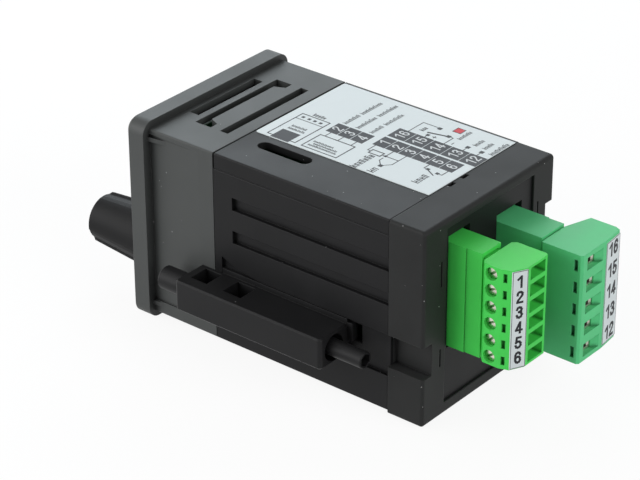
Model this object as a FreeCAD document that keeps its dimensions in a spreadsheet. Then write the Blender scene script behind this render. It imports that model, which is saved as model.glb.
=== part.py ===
import FreeCAD, Part
import math
import os
import Sketcher
from types import SimpleNamespace

# A panel-mounted temperature controller, 48 x 48 mm in front: a grey front frame with its
# neck, a black case of tray, lid and rear cap, two pull-off screw terminals at the back, a
# setting knob in front and a screw clamp on each side.
#
# The origin is the centre of the panel opening, in the plane where the frame meets the
# panel. +X is to the right of someone facing the front, +Y runs into the panel, +Z is up.

doc = FreeCAD.newDocument("temperature_controller")

# Driving sizes in millimetres, and turns in degrees.
sizes = {
    # front frame and neck
    "bezel_side": 48.0,
    "bezel_depth": 5.0,
    "bezel_round": 3.0,
    "bezel_edge": 0.8,
    "front_wall": 2.2,
    "rim_side": 1.8,
    "rim_top": 1.55,
    "body_edge": 0.35,
    "wall": 1.6,
    "neck_depth": 18.0,
    "joint_fit": 0.1,
    "flank_depth": 0.4,
    "flank_foot": 3.05,
    "flank_head": 1.2,
    "flank_flat": 2.5,
    "flank_long": 14.0,
    "rib_head": 1.85,
    "rib_tall": 1.0,
    "rib_proud": 0.45,
    "rib_long": 5.0,
    # air slots of the neck, and the spring tongue cut free between them
    "vent_half": 13.5,
    "front_vent_half": 10.65,
    "front_vent_start": 1.5,
    "front_vent_long": 2.5,
    "tongue_half": 11.4,
    "tongue_slant": 1.1,
    "tongue_gap": 1.83,
    "tongue_long": 4.3,
    "tongue_ahead": 0.48,
    "rear_vent_long": 2.15,
    "rear_vent_rim": 3.25,
    # front foil, window and display
    "foil_margin": 3.0,
    "foil_thick": 0.4,
    "foil_recess": 0.5,
    "foil_round": 1.5,
    "window_inset": 4.0,
    "window_tall": 12.0,
    "window_head": 4.5,
    "lens_margin": 1.2,
    "lens_flange": 1.2,
    "lens_flange_thick": 0.8,
    "display_inset": 1.9,
    "display_tall": 14.0,
    "display_gap": 0.1,
    "display_board_gap": 0.6,
    "board_thick": 1.6,
    # setting knob and the encoder that carries it
    "knob_inset": 8.0,
    "knob_foot": 10.5,
    "knob_long": 17.7,
    "knob_gap": 0.7,
    "knob_taper": 1.35,
    "knob_edge": 0.5,
    "knob_skirt": 0.6,
    "knob_hollow": 3.0,
    "flute_count": 3,
    "flute_first": 92.5,
    "flute_half": 17.0,
    "flute_lean": 45.0,
    "flute_reach": 3.0,
    "flute_depth": 0.5,
    "shaft_r": 3.0,
    "shaft_flat": 1.5,
    "shaft_out": 14.6,
    "shaft_in": 5.6,
    "running_fit": 0.05,
    "bushing_wall": 0.5,
    "bushing_out": 4.1,
    "bushing_fit": 0.2,
    "nut_wall": 1.5,
    "nut_thick": 2.0,
    "nut_room": 0.28,
    "encoder_side": 12.0,
    "encoder_deep": 6.5,
    # case: tray, lid and rear cap
    "case_long": 47.0,
    "lid_tall": 3.6,
    "lid_gap": 0.5,
    "seam_vee": 0.2,
    "lid_rail": 1.1,
    "lid_rail_drop": 1.8,
    "lid_rail_front": 6.0,
    "lid_rail_back": 5.0,
    "lip_long": 3.0,
    "lip_wall": 1.2,
    "lip_root": 2.0,
    "port_inset": 9.4,
    "port_wide": 3.2,
    "port_front": 4.95,
    "port_long": 14.0,
    "groove_front": 5.2,
    "groove_depth": 1.0,
    "groove_tall": 3.0,
    "upper_groove_z": 12.0,
    "lower_groove_z": 4.1,
    "cap_depth": 9.0,
    "cap_proud": 0.1,
    "cap_drop": 0.75,
    "cap_wall": 4.3,
    "cap_lip": 0.5,
    "cap_edge": 0.7,
    "cap_brow": 0.9,
    "cap_opening_rim": 3.0,
    "cap_opening_head": 0.4,
    "cap_opening_foot": 1.2,
    "clip_inset": 1.4,
    "clip_wide": 0.4,
    "upper_clip_z": 10.7,
    "upper_clip_tall": 5.8,
    "lower_clip_z": -8.9,
    "lower_clip_tall": 4.2,
    "notch_depth": 2.8,
    "notch_over": 5.0,
    "notch_under": 2.6,
    "snap_x": 2.25,
    "snap_wide": 2.0,
    "snap_deep": 0.6,
    "snap_long": 0.9,
    "plate_thick": 1.6,
    "plate_gap": 0.35,
    "plate_headroom": 1.2,
    # wiring label on the lid
    "label_inset": 1.1,
    "label_wide": 30.1,
    "label_margin": 0.25,
    "label_thick": 0.15,
    "label_round": 0.45,
    # boards and what stands on them
    "power_inset": 8.2,
    "board_clear": 0.25,
    "card_edge_margin": 0.8,
    "card_edge_rise": 1.0,
    "link_side": 2.2,
    "link_half": 10.0,
    "chip_side": 10.0,
    "chip_thick": 1.5,
    "relay_long": 19.0,
    "relay_tall": 15.5,
    "relay_high": 10.2,
    "relay_back": 14.0,
    "relay_z": 9.8,
    "core_long": 16.0,
    "core_tall": 16.0,
    "core_high": 13.0,
    "core_leg": 3.6,
    "winding_bulge": 1.4,
    "core_front": 27.7,
    "core_z": -8.0,
    "can_r": 5.0,
    "can_high": 16.0,
    "can_front": 9.7,
    "can_z": -11.5,
    # left terminal, its screws facing +X
    "left_poles": 6,
    "left_pitch": 3.81,
    "left_mid": 4.5,
    "left_header_inset": 1.5,
    "left_header_wide": 6.5,
    "left_header_long": 9.6,
    "left_header_margin": 0.67,
    "left_step": 3.9,
    "left_plug_under": 3.1,
    "left_plug_over": 1.5,
    "left_plug_gap": 0.9,
    "left_plug_long": 8.7,
    "left_slant_wide": 3.8,
    "left_slant_drop": 1.6,
    "left_bevel": 0.7,
    "left_bevel_long": 2.2,
    "left_front_bevel": 1.0,
    "left_front_wide": 1.0,
    "left_inner_bevel": 0.85,
    "left_entry_inset": 1.2,
    "left_entry_wide": 5.0,
    "left_entry_tall": 2.75,
    "left_funnel_wide": 0.6,
    "left_funnel_deep": 0.5,
    "left_cage_back": 2.8,
    "left_screw_back": 2.6,
    "left_screw_r": 1.3,
    "left_slot_back": 5.8,
    "left_slot_wide": 0.8,
    "left_slot_tall": 1.95,
    "left_strip_margin": 0.2,
    # right terminal, its screws facing -X
    "right_poles": 5,
    "right_pitch": 5.08,
    "right_mid": 1.25,
    "right_header_inset": 3.9,
    "right_header_wide": 8.1,
    "right_header_long": 12.7,
    "right_header_margin": 0.4,
    "right_step": 3.9,
    "right_plug_under": 0.7,
    "right_plug_over": 5.9,
    "right_plug_gap": 0.4,
    "right_plug_long": 10.1,
    "right_slant_wide": 6.1,
    "right_slant_drop": 0.6,
    "right_bevel": 0.5,
    "right_bevel_long": 1.2,
    "right_front_bevel": 2.1,
    "right_front_wide": 6.5,
    "right_inner_bevel": 0.25,
    "right_entry_inset": 1.8,
    "right_entry_wide": 5.75,
    "right_entry_tall": 2.95,
    "right_funnel_wide": 1.6,
    "right_funnel_deep": 1.1,
    "right_cage_back": 1.35,
    "right_screw_back": 4.2,
    "right_screw_r": 1.7,
    "right_slot_back": 8.55,
    "right_slot_wide": 0.9,
    "right_slot_tall": 2.55,
    "right_strip_margin": 0.65,
    # shared by both terminals
    "header_wall": 0.9,
    "header_floor": 2.4,
    "step_deep": 0.25,
    "slide_fit": 0.15,
    "stem_clear": 0.8,
    "entry_floor": 1.5,
    "back_bevel": 0.5,
    "cage_fit": 0.05,
    "cage_wall": 0.5,
    "leaf_thick": 0.9,
    "leaf_half": 0.5,
    "leaf_out": 0.25,
    "pin_side": 0.9,
    "pin_tail": 2.5,
    "pin_short": 1.6,
    "pin_room": 0.25,
    "screw_sunk": 0.8,
    "screw_head": 1.5,
    "screw_room": 0.15,
    "shank_share": 0.6,
    "driver_slot": 0.5,
    "slot_deep": 1.0,
    "strip_thick": 0.2,
    # clamp on each side: its screw, foot and bar, and the tray's guide for it
    "jack_out": 4.3,
    "jack_z": -9.2,
    "jack_r": 1.9,
    "jack_bore_fit": 0.15,
    "jack_tail": 8.3,
    "jack_slot": 0.8,
    "jack_slot_deep": 1.2,
    "jack_chamfer": 0.5,
    "foot_start": 7.2,
    "foot_wall": 0.75,
    "foot_edge": 0.5,
    "foot_gap": 0.2,
    "foot_floor": 3.1,
    "sink_ring": 1.1,
    "sink_deep": 3.0,
    "bar_front": 14.2,
    "bar_stop": 10.8,
    "bar_out": 8.8,
    "bar_gap": 0.05,
    "bar_web": 0.6,
    "bar_edge": 0.35,
    "bar_corner": 0.9,
    "pocket_in": 0.8,
    "pocket_wide": 4.95,
    "pocket_floor": 1.5,
    "first_pocket_back": 2.1,
    "first_pocket_long": 4.4,
    "second_pocket_back": 11.1,
    "second_pocket_long": 4.9,
    "rail_depth": 0.8,
    "rail_foot": 1.3,
    "rail_head": 1.4,
    "rail_front": 2.0,
    "flare_long": 12.0,
    "flare_rise": 2.6,
    "shoe_fit": 0.05,
    "shoe_side_fit": 0.2,
    "catch_gap": 0.3,
    "catch_long": 3.1,
    "catch_tall": 4.4,
    "catch_rise": 2.0,
    "catch_hook": 1.0,
    "catch_tip": 1.4,
    "catch_play": 0.2,
}
sheet = doc.addObject("Spreadsheet::Sheet", "Sizes")
for row, (alias, value) in enumerate(sizes.items(), 1):
    sheet.set(f"A{row}", alias.replace("_", " "))
    sheet.set(f"B{row}", str(value))
    sheet.setAlias(f"B{row}", alias)
doc.recompute()

tiny = 0.001      # two places closer than this are one place
beyond = 1.0      # how far an open cut runs past the material
full_turn = 360
head_sides = 16   # sides of the terminal screws' heads and shafts
inner_sides = 24  # sides of the rounds under the knob
planes = {"x": "YZ_Plane", "y": "XZ_Plane", "z": "XY_Plane"}
facing = {"x": 1, "y": -1, "z": 1}      # the way each plane's normal points along its axis
pieces = []
cuts = []


class Size:
    """A length of the sheet or a sum made of such lengths: its expression and its number."""

    def __init__(self, text, value):
        self.text = text
        self.value = value

    def __add__(self, other):
        return Size(f"({self.text} + {wording(other)})", self.value + number(other))

    def __sub__(self, other):
        return Size(f"({self.text} - {wording(other)})", self.value - number(other))

    def __mul__(self, other):
        return Size(f"({self.text} * {wording(other)})", self.value * number(other))

    def __truediv__(self, other):
        return Size(f"({self.text} / {wording(other)})", self.value / number(other))

    def __radd__(self, other):
        return self + other

    def __rsub__(self, other):
        return Size(f"({wording(other)} - {self.text})", number(other) - self.value)

    def __rmul__(self, other):
        return self * other

    def __rtruediv__(self, other):
        return Size(f"({wording(other)} / {self.text})", number(other) / self.value)

    def __neg__(self):
        return self * -1


def wording(length):
    return length.text if isinstance(length, Size) else repr(length)


def number(length):
    return length.value if isinstance(length, Size) else length


s = SimpleNamespace(**{alias: Size(f"Sizes.{alias}", float(sheet.get(alias))) for alias in sizes})


def group(prefix):
    """The sizes of one terminal, without the prefix that tells the two apart."""
    start = len(prefix)
    return SimpleNamespace(**{a[start:]: getattr(s, a) for a in sizes if a.startswith(prefix)})


def around(radius, turn):
    """The point at a radius, turned from the first axis of the sketch."""
    angle = math.radians(number(turn))
    across = Size(f"({wording(radius)} * cos({wording(turn)} * 1 deg))", number(radius) * math.cos(angle))
    up = Size(f"({wording(radius)} * sin({wording(turn)} * 1 deg))", number(radius) * math.sin(angle))
    return across, up


def piece(label, x=0, z=0, several=False):
    """A new sub-part, built about its own Y axis and carried to x and z."""
    body = doc.addObject("PartDesign::Body", label)
    body.Label = label
    body.AllowCompound = several
    body.setExpression("Placement.Base.x", wording(x))
    body.setExpression("Placement.Base.z", wording(z))
    pieces.append(body)
    return body


def origin_part(body, role):
    return next(part for part in body.Origin.OriginFeatures if part.Role == role)


def sketch_at(body, axis, place=0):
    sketch = body.newObject("Sketcher::SketchObject", "Sketch")
    sketch.AttachmentSupport = [(origin_part(body, planes[axis]), "")]
    sketch.MapMode = "FlatFace"
    sketch.setExpression("AttachmentOffset.Base.z", wording(facing[axis] * place))
    return sketch


def hold(sketch, kind, where, length):
    """A dimension of the sketch, tied to its expression."""
    index = sketch.addConstraint(Sketcher.Constraint(kind, *where, number(length)))
    sketch.setExpression(f"Constraints[{index}]", wording(length))


def hold_point(sketch, edge, end, point):
    hold(sketch, "DistanceX", (-1, 1, edge, end), point[0])
    hold(sketch, "DistanceY", (-1, 1, edge, end), point[1])


def add_arc(sketch, start, stop, radius, side):
    """An arc that bends left (side 1) or right (side -1) on its way from start to stop."""
    reach = number(radius)
    chord = stop - start
    left = FreeCAD.Vector(-chord.y, chord.x, 0).normalize()
    centre = (start + stop) / 2 + left * side * math.sqrt(reach ** 2 - chord.Length ** 2 / 4)
    first, last = (start, stop) if side > 0 else (stop, start)
    turns = [math.atan2(end.y - centre.y, end.x - centre.x) for end in (first, last)]
    circle = Part.Circle(centre, FreeCAD.Vector(0, 0, 1), reach)
    edge = sketch.addGeometry(Part.ArcOfCircle(circle, *turns))
    hold(sketch, "Radius", (edge,), radius)
    return (edge, 1, 2) if side > 0 else (edge, 2, 1)


def draw(sketch, corners):
    """A closed outline. A corner is (x, y), or (x, y, radius, side) where an arc leaves it."""
    count = len(corners)
    edges = []
    for index, corner in enumerate(corners):
        following = corners[(index + 1) % count]
        start = FreeCAD.Vector(number(corner[0]), number(corner[1]), 0)
        stop = FreeCAD.Vector(number(following[0]), number(following[1]), 0)
        if len(corner) > 2:
            edges.append(add_arc(sketch, start, stop, corner[2], corner[3]))
        else:
            edges.append((sketch.addGeometry(Part.LineSegment(start, stop)), 1, 2))
    for index, (edge, first, last) in enumerate(edges):
        after, after_first, _ = edges[(index + 1) % count]
        sketch.addConstraint(Sketcher.Constraint("Coincident", edge, last, after, after_first))
        hold_point(sketch, edge, first, corners[index])


def draw_circle(sketch, x, y, radius):
    circle = Part.Circle(FreeCAD.Vector(number(x), number(y), 0), FreeCAD.Vector(0, 0, 1), number(radius))
    edge = sketch.addGeometry(circle)
    hold_point(sketch, edge, 3, (x, y))
    hold(sketch, "Radius", (edge,), radius)


def push(body, sketch, axis, length, cut):
    feature = body.newObject("PartDesign::Pocket" if cut else "PartDesign::Pad", "Push")
    feature.Profile = sketch
    feature.Reversed = (facing[axis] > 0) == cut
    feature.setExpression("Length", wording(length))
    if cut:
        cuts.append(feature)
    return feature


def prism(body, axis, outlines, low, high, cut=False):
    """Material, or a cut, with straight sides along an axis."""
    sketch = sketch_at(body, axis, low)
    for outline in outlines:
        draw(sketch, outline)
    return push(body, sketch, axis, high - low, cut)


def rod(body, axis, x, y, radius, low, high, cut=False):
    sketch = sketch_at(body, axis, low)
    draw_circle(sketch, x, y, radius)
    return push(body, sketch, axis, high - low, cut)


def spin(body, outline, line):
    """A turned solid: an outline in the XY plane, turned about its H_Axis or V_Axis."""
    sketch = sketch_at(body, "z")
    draw(sketch, outline)
    feature = body.newObject("PartDesign::Revolution", "Spin")
    feature.Profile = sketch
    feature.ReferenceAxis = (sketch, [line])
    feature.Angle = full_turn
    return feature


def repeat(body, features, pitch, count):
    """The same features again, up the Z axis."""
    doc.recompute()
    row_of = body.newObject("PartDesign::LinearPattern", "Row")
    row_of.Originals = features
    row_of.Direction = (origin_part(body, "Z_Axis"), [""])
    row_of.setExpression("Length", wording(pitch * (count - 1)))
    row_of.setExpression("Occurrences", wording(count))
    body.Tip = row_of


def soften(body, radius, chosen, kind="Fillet"):
    """Round or chamfer the chosen edges of what the body is so far."""
    doc.recompute()
    base = body.Tip
    names = [f"Edge{n}" for n, edge in enumerate(base.Shape.Edges, 1) if chosen(edge)]
    feature = body.newObject(f"PartDesign::{kind}", kind)
    feature.Base = (base, names)
    feature.setExpression("Radius" if kind == "Fillet" else "Size", wording(radius))


def span(edge, axis):
    box = edge.BoundBox
    return {"x": (box.XMin, box.XMax), "y": (box.YMin, box.YMax), "z": (box.ZMin, box.ZMax)}[axis]


def lies(edge, axis, place):
    return all(abs(end - number(place)) < tiny for end in span(edge, axis))


def runs(edge, axis):
    """True of a straight edge along an axis."""
    return all((span(edge, a)[1] - span(edge, a)[0] > tiny) == (a == axis) for a in "xyz")


def across(hand, low, high):
    """A stretch between two places, or the stretch opposite to it where hand is -1."""
    return (low, high) if hand > 0 else (-high, -low)


def rect(x_low, x_high, y_low, y_high):
    return [(x_low, y_low), (x_high, y_low), (x_high, y_high), (x_low, y_high)]


def centred(half_x, half_y, x=0, y=0):
    return rect(x - half_x, x + half_x, y - half_y, y + half_y)


# Planes, faces and radii that more than one piece takes its size or place from
front = -s.bezel_depth                              # the frame's front face
foil_back = front + s.foil_recess
foil_front = foil_back - s.foil_thick
wall_back = front + s.front_wall                    # inner side of the frame's front wall
display_board_front = wall_back + s.encoder_deep
display_board_back = display_board_front + s.board_thick
side = s.bezel_side / 2 - s.rim_side
top = s.bezel_side / 2 - s.rim_top
inner_side = side - s.wall
inner_top = top - s.wall
lip_side = inner_side - s.joint_fit
lip_top = inner_top - s.joint_fit
lip_inner_side = lip_side - s.lip_wall
lip_inner_top = lip_top - s.lip_wall
lip_start = s.neck_depth - s.lip_long
foil_half = s.bezel_side / 2 - s.foil_margin
window_half = foil_half - s.window_inset
window_z = foil_half - s.window_head - s.window_tall / 2
knob_x = foil_half - s.knob_inset
knob_z = s.knob_foot - foil_half
bushing_r = s.shaft_r + s.bushing_wall
nut_corner = (bushing_r + s.nut_wall) / math.cos(math.pi / 6)
knob_hollow_r = nut_corner + s.nut_room
case_end = s.neck_depth + s.case_long
seam = top - s.lid_tall                             # where lid and tray meet
lid_front = s.neck_depth + s.lid_gap
rear = case_end + s.cap_depth
cap_side = side + s.cap_proud
cap_low = -top - s.cap_drop
cap_inner_side = cap_side - s.cap_wall
cap_opening = cap_inner_side - s.cap_opening_rim
plate_back = rear - s.cap_lip
plate_front = plate_back - s.plate_thick
rear_board_front = plate_front - s.board_thick
port_x = side - s.port_inset
port_start = s.neck_depth + s.port_front
logic_x = port_x - s.board_thick / 2                # inner face of the logic board
power_x = s.power_inset - side                      # inner face of the power board
board_half = lip_inner_top - s.board_clear
jack_x = side + s.jack_out
sink_r = s.jack_r + s.sink_ring
bar_low = s.jack_z - sink_r - s.bar_web
bar_top = s.jack_z + sink_r + s.bar_web
bar_back = case_end - s.bar_stop
rail_low = bar_low - s.rail_foot
rail_top = bar_top + s.rail_head
rail_start = s.neck_depth + s.rail_front
catch_start = bar_back + s.catch_gap
catch_z = s.jack_z + s.catch_rise


def front_bezel():
    """Front frame and neck, moulded in one, open at the back."""
    body = piece("front_bezel")
    half = s.bezel_side / 2
    prism(body, "y", [centred(half, half)], front, 0)
    soften(body, s.bezel_round, lambda edge: runs(edge, "y"))
    soften(body, s.bezel_edge, lambda edge: lies(edge, "y", front), "Chamfer")
    prism(body, "y", [centred(side, top)], 0, s.neck_depth)
    soften(body, s.body_edge, lambda edge: runs(edge, "y") and span(edge, "y")[0] > -tiny)
    prism(body, "y", [centred(inner_side, inner_top)], wall_back, s.neck_depth, cut=True)
    prism(body, "y", [centred(foil_half, foil_half)], front, foil_back, cut=True)
    soften(body, s.foil_round, lambda edge: runs(edge, "y") and outermost(edge, foil_half))
    lens_wide = window_half + s.lens_margin
    lens_tall = s.window_tall / 2 + s.lens_margin
    prism(body, "y", [centred(lens_wide, lens_tall, 0, window_z)], foil_back, wall_back, cut=True)
    rod(body, "y", knob_x, knob_z, bushing_r + s.bushing_fit, foil_back, wall_back, cut=True)
    # air slots through the top and bottom walls, and a tongue held at its rear edge
    front_vent_end = s.front_vent_start + s.front_vent_long
    rear_vent_end = s.neck_depth - s.rear_vent_rim
    rear_vent_start = rear_vent_end - s.rear_vent_long
    tongue_start = (front_vent_end + rear_vent_start - s.tongue_long) / 2 - s.tongue_ahead
    tongue_end = tongue_start + s.tongue_long
    tongue_edge = tongue_start + s.tongue_gap
    tongue = [
        (-s.vent_half, tongue_start),
        (s.vent_half, tongue_start),
        (s.vent_half, tongue_end),
        (s.tongue_half, tongue_end),
        (s.tongue_half - s.tongue_slant, tongue_edge),
        (s.tongue_slant - s.tongue_half, tongue_edge),
        (-s.tongue_half, tongue_end),
        (-s.vent_half, tongue_end),
    ]
    front_vent = rect(-s.front_vent_half, s.front_vent_half, s.front_vent_start, front_vent_end)
    rear_vent = rect(-s.vent_half, s.vent_half, rear_vent_start, rear_vent_end)
    prism(body, "z", [front_vent, tongue, rear_vent], -top - beyond, top + beyond, cut=True)
    # sunk panels of the two flanks, running out towards the rear, with locating ribs in front
    floor = side - s.flank_depth
    rib_top = top - s.rib_head
    rib_low = rib_top - s.rib_tall
    for hand in (1, -1):
        panel = [
            (hand * floor, 0),
            (hand * (side + beyond), 0),
            (hand * (side + beyond), s.flank_long),
            (hand * side, s.flank_long),
            (hand * floor, s.flank_flat),
        ]
        prism(body, "z", [panel], s.flank_foot - top, top - s.flank_head, cut=True)
        rib = [(hand * floor, 0), (hand * (side + s.rib_proud), 0), (hand * floor, s.rib_long)]
        prism(body, "z", [rib], rib_low, rib_top)
        prism(body, "z", [rib], -rib_top, -rib_low)


def front_foil():
    """Printed foil in the frame's sunk front, cut out over the window and the knob."""
    body = piece("front_foil")
    half = foil_half - s.joint_fit
    window = centred(window_half, s.window_tall / 2, 0, window_z)
    prism(body, "y", [centred(half, half), window], foil_front, foil_back)
    rod(body, "y", knob_x, knob_z, bushing_r + s.bushing_fit, foil_front, foil_back, cut=True)
    soften(body, s.foil_round - s.joint_fit, lambda edge: runs(edge, "y") and outermost(edge, half))


def many_sided(x, y, radius, sides=12):
    """Outline of a small round that repeats or is hidden inside, as a polygon of few sides."""
    corners = [around(radius, full_turn * step / sides) for step in range(sides)]
    return [(x + out, y + up) for out, up in corners]


def outermost(edge, half):
    return all(abs(abs(end) - number(half)) < tiny for end in span(edge, "x") + span(edge, "z"))


def display_window():
    """Smoked window, held from behind by a flange on the front wall."""
    body = piece("display_window")
    wide = window_half + s.lens_margin - s.joint_fit
    tall = s.window_tall / 2 + s.lens_margin - s.joint_fit
    flange_back = wall_back + s.lens_flange_thick
    flange = centred(wide + s.lens_flange, tall + s.lens_flange, 0, window_z)
    prism(body, "y", [centred(wide, tall, 0, window_z)], foil_back, wall_back)
    prism(body, "y", [flange], wall_back, flange_back)


def led_display():
    body = piece("led_display")
    face = wall_back + s.lens_flange_thick + s.display_gap
    block = centred(window_half - s.display_inset, s.display_tall / 2, 0, window_z)
    prism(body, "y", [block], face, display_board_front)


def display_board():
    body = piece("display_board")
    half = inner_side - s.display_board_gap
    prism(body, "y", [centred(half, half)], display_board_front, display_board_back)


def encoder_body():
    """Rotary encoder: a square case with a round bushing that goes through the front wall."""
    body = piece("encoder_body", knob_x, knob_z)
    half = s.encoder_side / 2
    nose = front - s.bushing_out
    bore = s.shaft_r + s.running_fit
    prism(body, "y", [centred(half, half)], wall_back, display_board_front)
    prism(body, "y", [many_sided(0, 0, bushing_r, inner_sides)], nose, wall_back)
    prism(body, "y", [many_sided(0, 0, bore, inner_sides)], nose, front + s.shaft_in + s.joint_fit, cut=True)


def encoder_nut():
    body = piece("encoder_nut", knob_x, knob_z)
    hexagon = [around(nut_corner, turn) for turn in range(0, full_turn, 60)]
    prism(body, "y", [hexagon], foil_front - s.nut_thick, foil_front)
    bore = many_sided(0, 0, bushing_r + s.running_fit, inner_sides)
    prism(body, "y", [bore], foil_front - s.nut_thick, foil_front, cut=True)


def encoder_shaft():
    """Turning shaft, flattened on the length that the knob grips."""
    body = piece("encoder_shaft", knob_x, knob_z)
    tip = front - s.shaft_out
    flat_end = front - s.bushing_out - s.knob_gap
    beside = rect(-s.shaft_r - beyond, s.shaft_r + beyond, s.shaft_flat, s.shaft_r + beyond)
    rod(body, "y", 0, 0, s.shaft_r, tip, front + s.shaft_in)
    prism(body, "y", [beside], tip, flat_end, cut=True)


def knob():
    """Tapered knob with shallow flutes, hollow at the base over the nut."""
    body = piece("knob", knob_x, knob_z)
    base = foil_front - s.knob_gap
    tip = base - s.knob_long
    out_base = knob_hollow_r + s.knob_skirt
    base_r = out_base + s.flute_depth
    tip_r = base_r - s.knob_taper
    out_tip = tip_r - s.flute_depth
    spin(body, [(0, tip), (tip_r, tip), (base_r, base), (0, base)], "V_Axis")
    soften(body, s.knob_edge, lambda edge: lies(edge, "y", tip), "Chamfer")
    for index in range(int(number(s.flute_count))):
        turn = s.flute_first + index * full_turn / s.flute_count
        rings = []
        for place, bottom in ((base, out_base), (tip, out_tip)):
            ring = sketch_at(body, "y", place)
            draw(ring, flute_outline(bottom, turn))
            rings.append(ring)
        flute = body.newObject("PartDesign::SubtractiveLoft", "Flute")
        flute.Profile = rings[0]
        flute.Sections = rings[1:]
        flute.Ruled = True
        cuts.append(flute)
    grip_start = front - s.shaft_out - s.joint_fit
    flat_end = front - s.bushing_out - s.knob_gap
    rod(body, "y", 0, 0, knob_hollow_r, base - s.knob_hollow, base, cut=True)
    prism(body, "y", [many_sided(0, 0, bushing_r + s.bushing_fit, inner_sides)], flat_end, base, cut=True)
    # bore with the shaft's flat
    reach = s.shaft_r
    rise = s.shaft_flat
    half_chord = Size(f"sqrt({(reach * reach - rise * rise).text})",
                      math.sqrt(number(reach) ** 2 - number(rise) ** 2))
    bore = [(-half_chord, rise, reach, 1), (0, -reach, reach, 1), (half_chord, rise)]
    prism(body, "y", [bore], grip_start, flat_end, cut=True)


def flute_outline(bottom, turn):
    """Section of a flute: a floor of three facets about the axis, and two leaning sides."""
    floor = [around(bottom, turn + s.flute_half * share) for share in (-1, -1 / 3, 1 / 3, 1)]
    flanks = []
    for foot, lean in ((floor[-1], s.flute_lean), (floor[0], -s.flute_lean)):
        away = around(s.flute_reach, turn + lean)
        flanks.append((foot[0] + away[0], foot[1] + away[1]))
    return floor + flanks


def u_outline(out_x, out_low, in_x, in_low, high):
    """A trough: floor and two walls, open at the top."""
    return [
        (-out_x, out_low),
        (out_x, out_low),
        (out_x, high),
        (in_x, high),
        (in_x, in_low),
        (-in_x, in_low),
        (-in_x, high),
        (-out_x, high),
    ]


def joint_rim(edge):
    """Outer edges where tray and lid meet each other, the neck and the rear cap."""
    if lies(edge, "z", seam):
        return runs(edge, "y")
    return lies(edge, "y", s.neck_depth) or lies(edge, "y", case_end)


def lower_shell():
    """Tray of the case: floor and side walls, with a lip that plugs into the neck."""
    body = piece("lower_shell")
    prism(body, "y", [rect(-side, side, -top, seam)], s.neck_depth, case_end)
    soften(body, s.body_edge, lambda edge: runs(edge, "y") and lies(edge, "z", -top))
    soften(body, s.seam_vee, joint_rim, "Chamfer")
    root_end = s.neck_depth + s.lip_root
    above = seam + beyond
    prism(body, "y", [rect(-inner_side, inner_side, -inner_top, above)], root_end, case_end, cut=True)
    prism(body, "y", [rect(-lip_inner_side, lip_inner_side, -lip_inner_top, above)],
          s.neck_depth, root_end, cut=True)
    lip = u_outline(lip_side, -lip_top, lip_inner_side, -lip_inner_top, seam - s.lip_wall)
    prism(body, "y", [lip], lip_start, s.neck_depth)
    open_end = case_end + beyond
    flare_start = rail_start + s.flare_long
    flare_r = (s.flare_long * s.flare_long + s.flare_rise * s.flare_rise) / (2 * s.flare_rise)
    groove_start = s.neck_depth + s.groove_front
    for hand in (1, -1):
        outside = across(hand, side - s.groove_depth, side + beyond)
        for height in (s.upper_groove_z, s.lower_groove_z):
            groove = rect(groove_start, open_end, hand * height - s.groove_tall / 2,
                          hand * height + s.groove_tall / 2)
            prism(body, "x", [groove], *outside, cut=True)
        # guide for the clamp, its upper edge curving away towards the front
        guide = [
            (rail_start, hand * rail_low),
            (open_end, hand * rail_low),
            (open_end, hand * rail_top),
            (flare_start, hand * rail_top, flare_r, -hand),
            (rail_start, hand * (rail_top + s.flare_rise)),
        ]
        outside = across(hand, side - s.rail_depth, side + beyond)
        prism(body, "x", [guide], *outside, cut=True)
        catch = rect(catch_start, catch_start + s.catch_long, hand * catch_z - s.catch_tall / 2,
                     hand * catch_z + s.catch_tall / 2)
        prism(body, "x", [catch], *across(hand, inner_side - beyond, side), cut=True)


def top_lid():
    """Lid of the case, with rails inside the tray's walls and a service port through its top."""
    body = piece("top_lid")
    prism(body, "y", [rect(-side, side, seam, top)], lid_front, case_end)
    soften(body, s.body_edge, lambda edge: runs(edge, "y") and lies(edge, "z", top))
    soften(body, s.seam_vee, joint_rim, "Chamfer")
    root_end = s.neck_depth + s.lip_root
    below = seam - beyond
    prism(body, "y", [rect(-inner_side, inner_side, below, inner_top)], root_end, case_end, cut=True)
    prism(body, "y", [rect(-inner_side, inner_side, below, lip_inner_top)], lid_front, root_end, cut=True)
    prism(body, "y", [rect(-lip_inner_side, lip_inner_side, lip_inner_top, lip_top)], lip_start, lid_front)
    for hand in (1, -1):
        rail = rect(*across(hand, lip_side - s.lid_rail, lip_side), seam - s.lid_rail_drop, inner_top)
        prism(body, "y", [rail], s.neck_depth + s.lid_rail_front, case_end - s.lid_rail_back)
    half = s.port_wide / 2
    port = rect(port_x - half, port_x + half, port_start, port_start + s.port_long)
    prism(body, "z", [port], inner_top, top, cut=True)
    soften(body, half - tiny, lambda edge: runs(edge, "z") and in_port(edge))


def in_port(edge):
    half = number(s.port_wide / 2)
    across = abs(span(edge, "x")[0] - number(port_x))
    return abs(across - half) < tiny and number(inner_top) - tiny < span(edge, "z")[0]


def wiring_label():
    body = piece("wiring_label")
    edge_start = lid_front + s.label_margin
    edge_end = case_end - s.label_margin
    left = s.label_inset - side
    sheet_outline = rect(left, left + s.label_wide, edge_start, edge_end)
    prism(body, "z", [sheet_outline], top, top + s.label_thick)
    soften(body, s.label_round, lambda edge: runs(edge, "z") and lies(edge, "y", edge_start))


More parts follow.
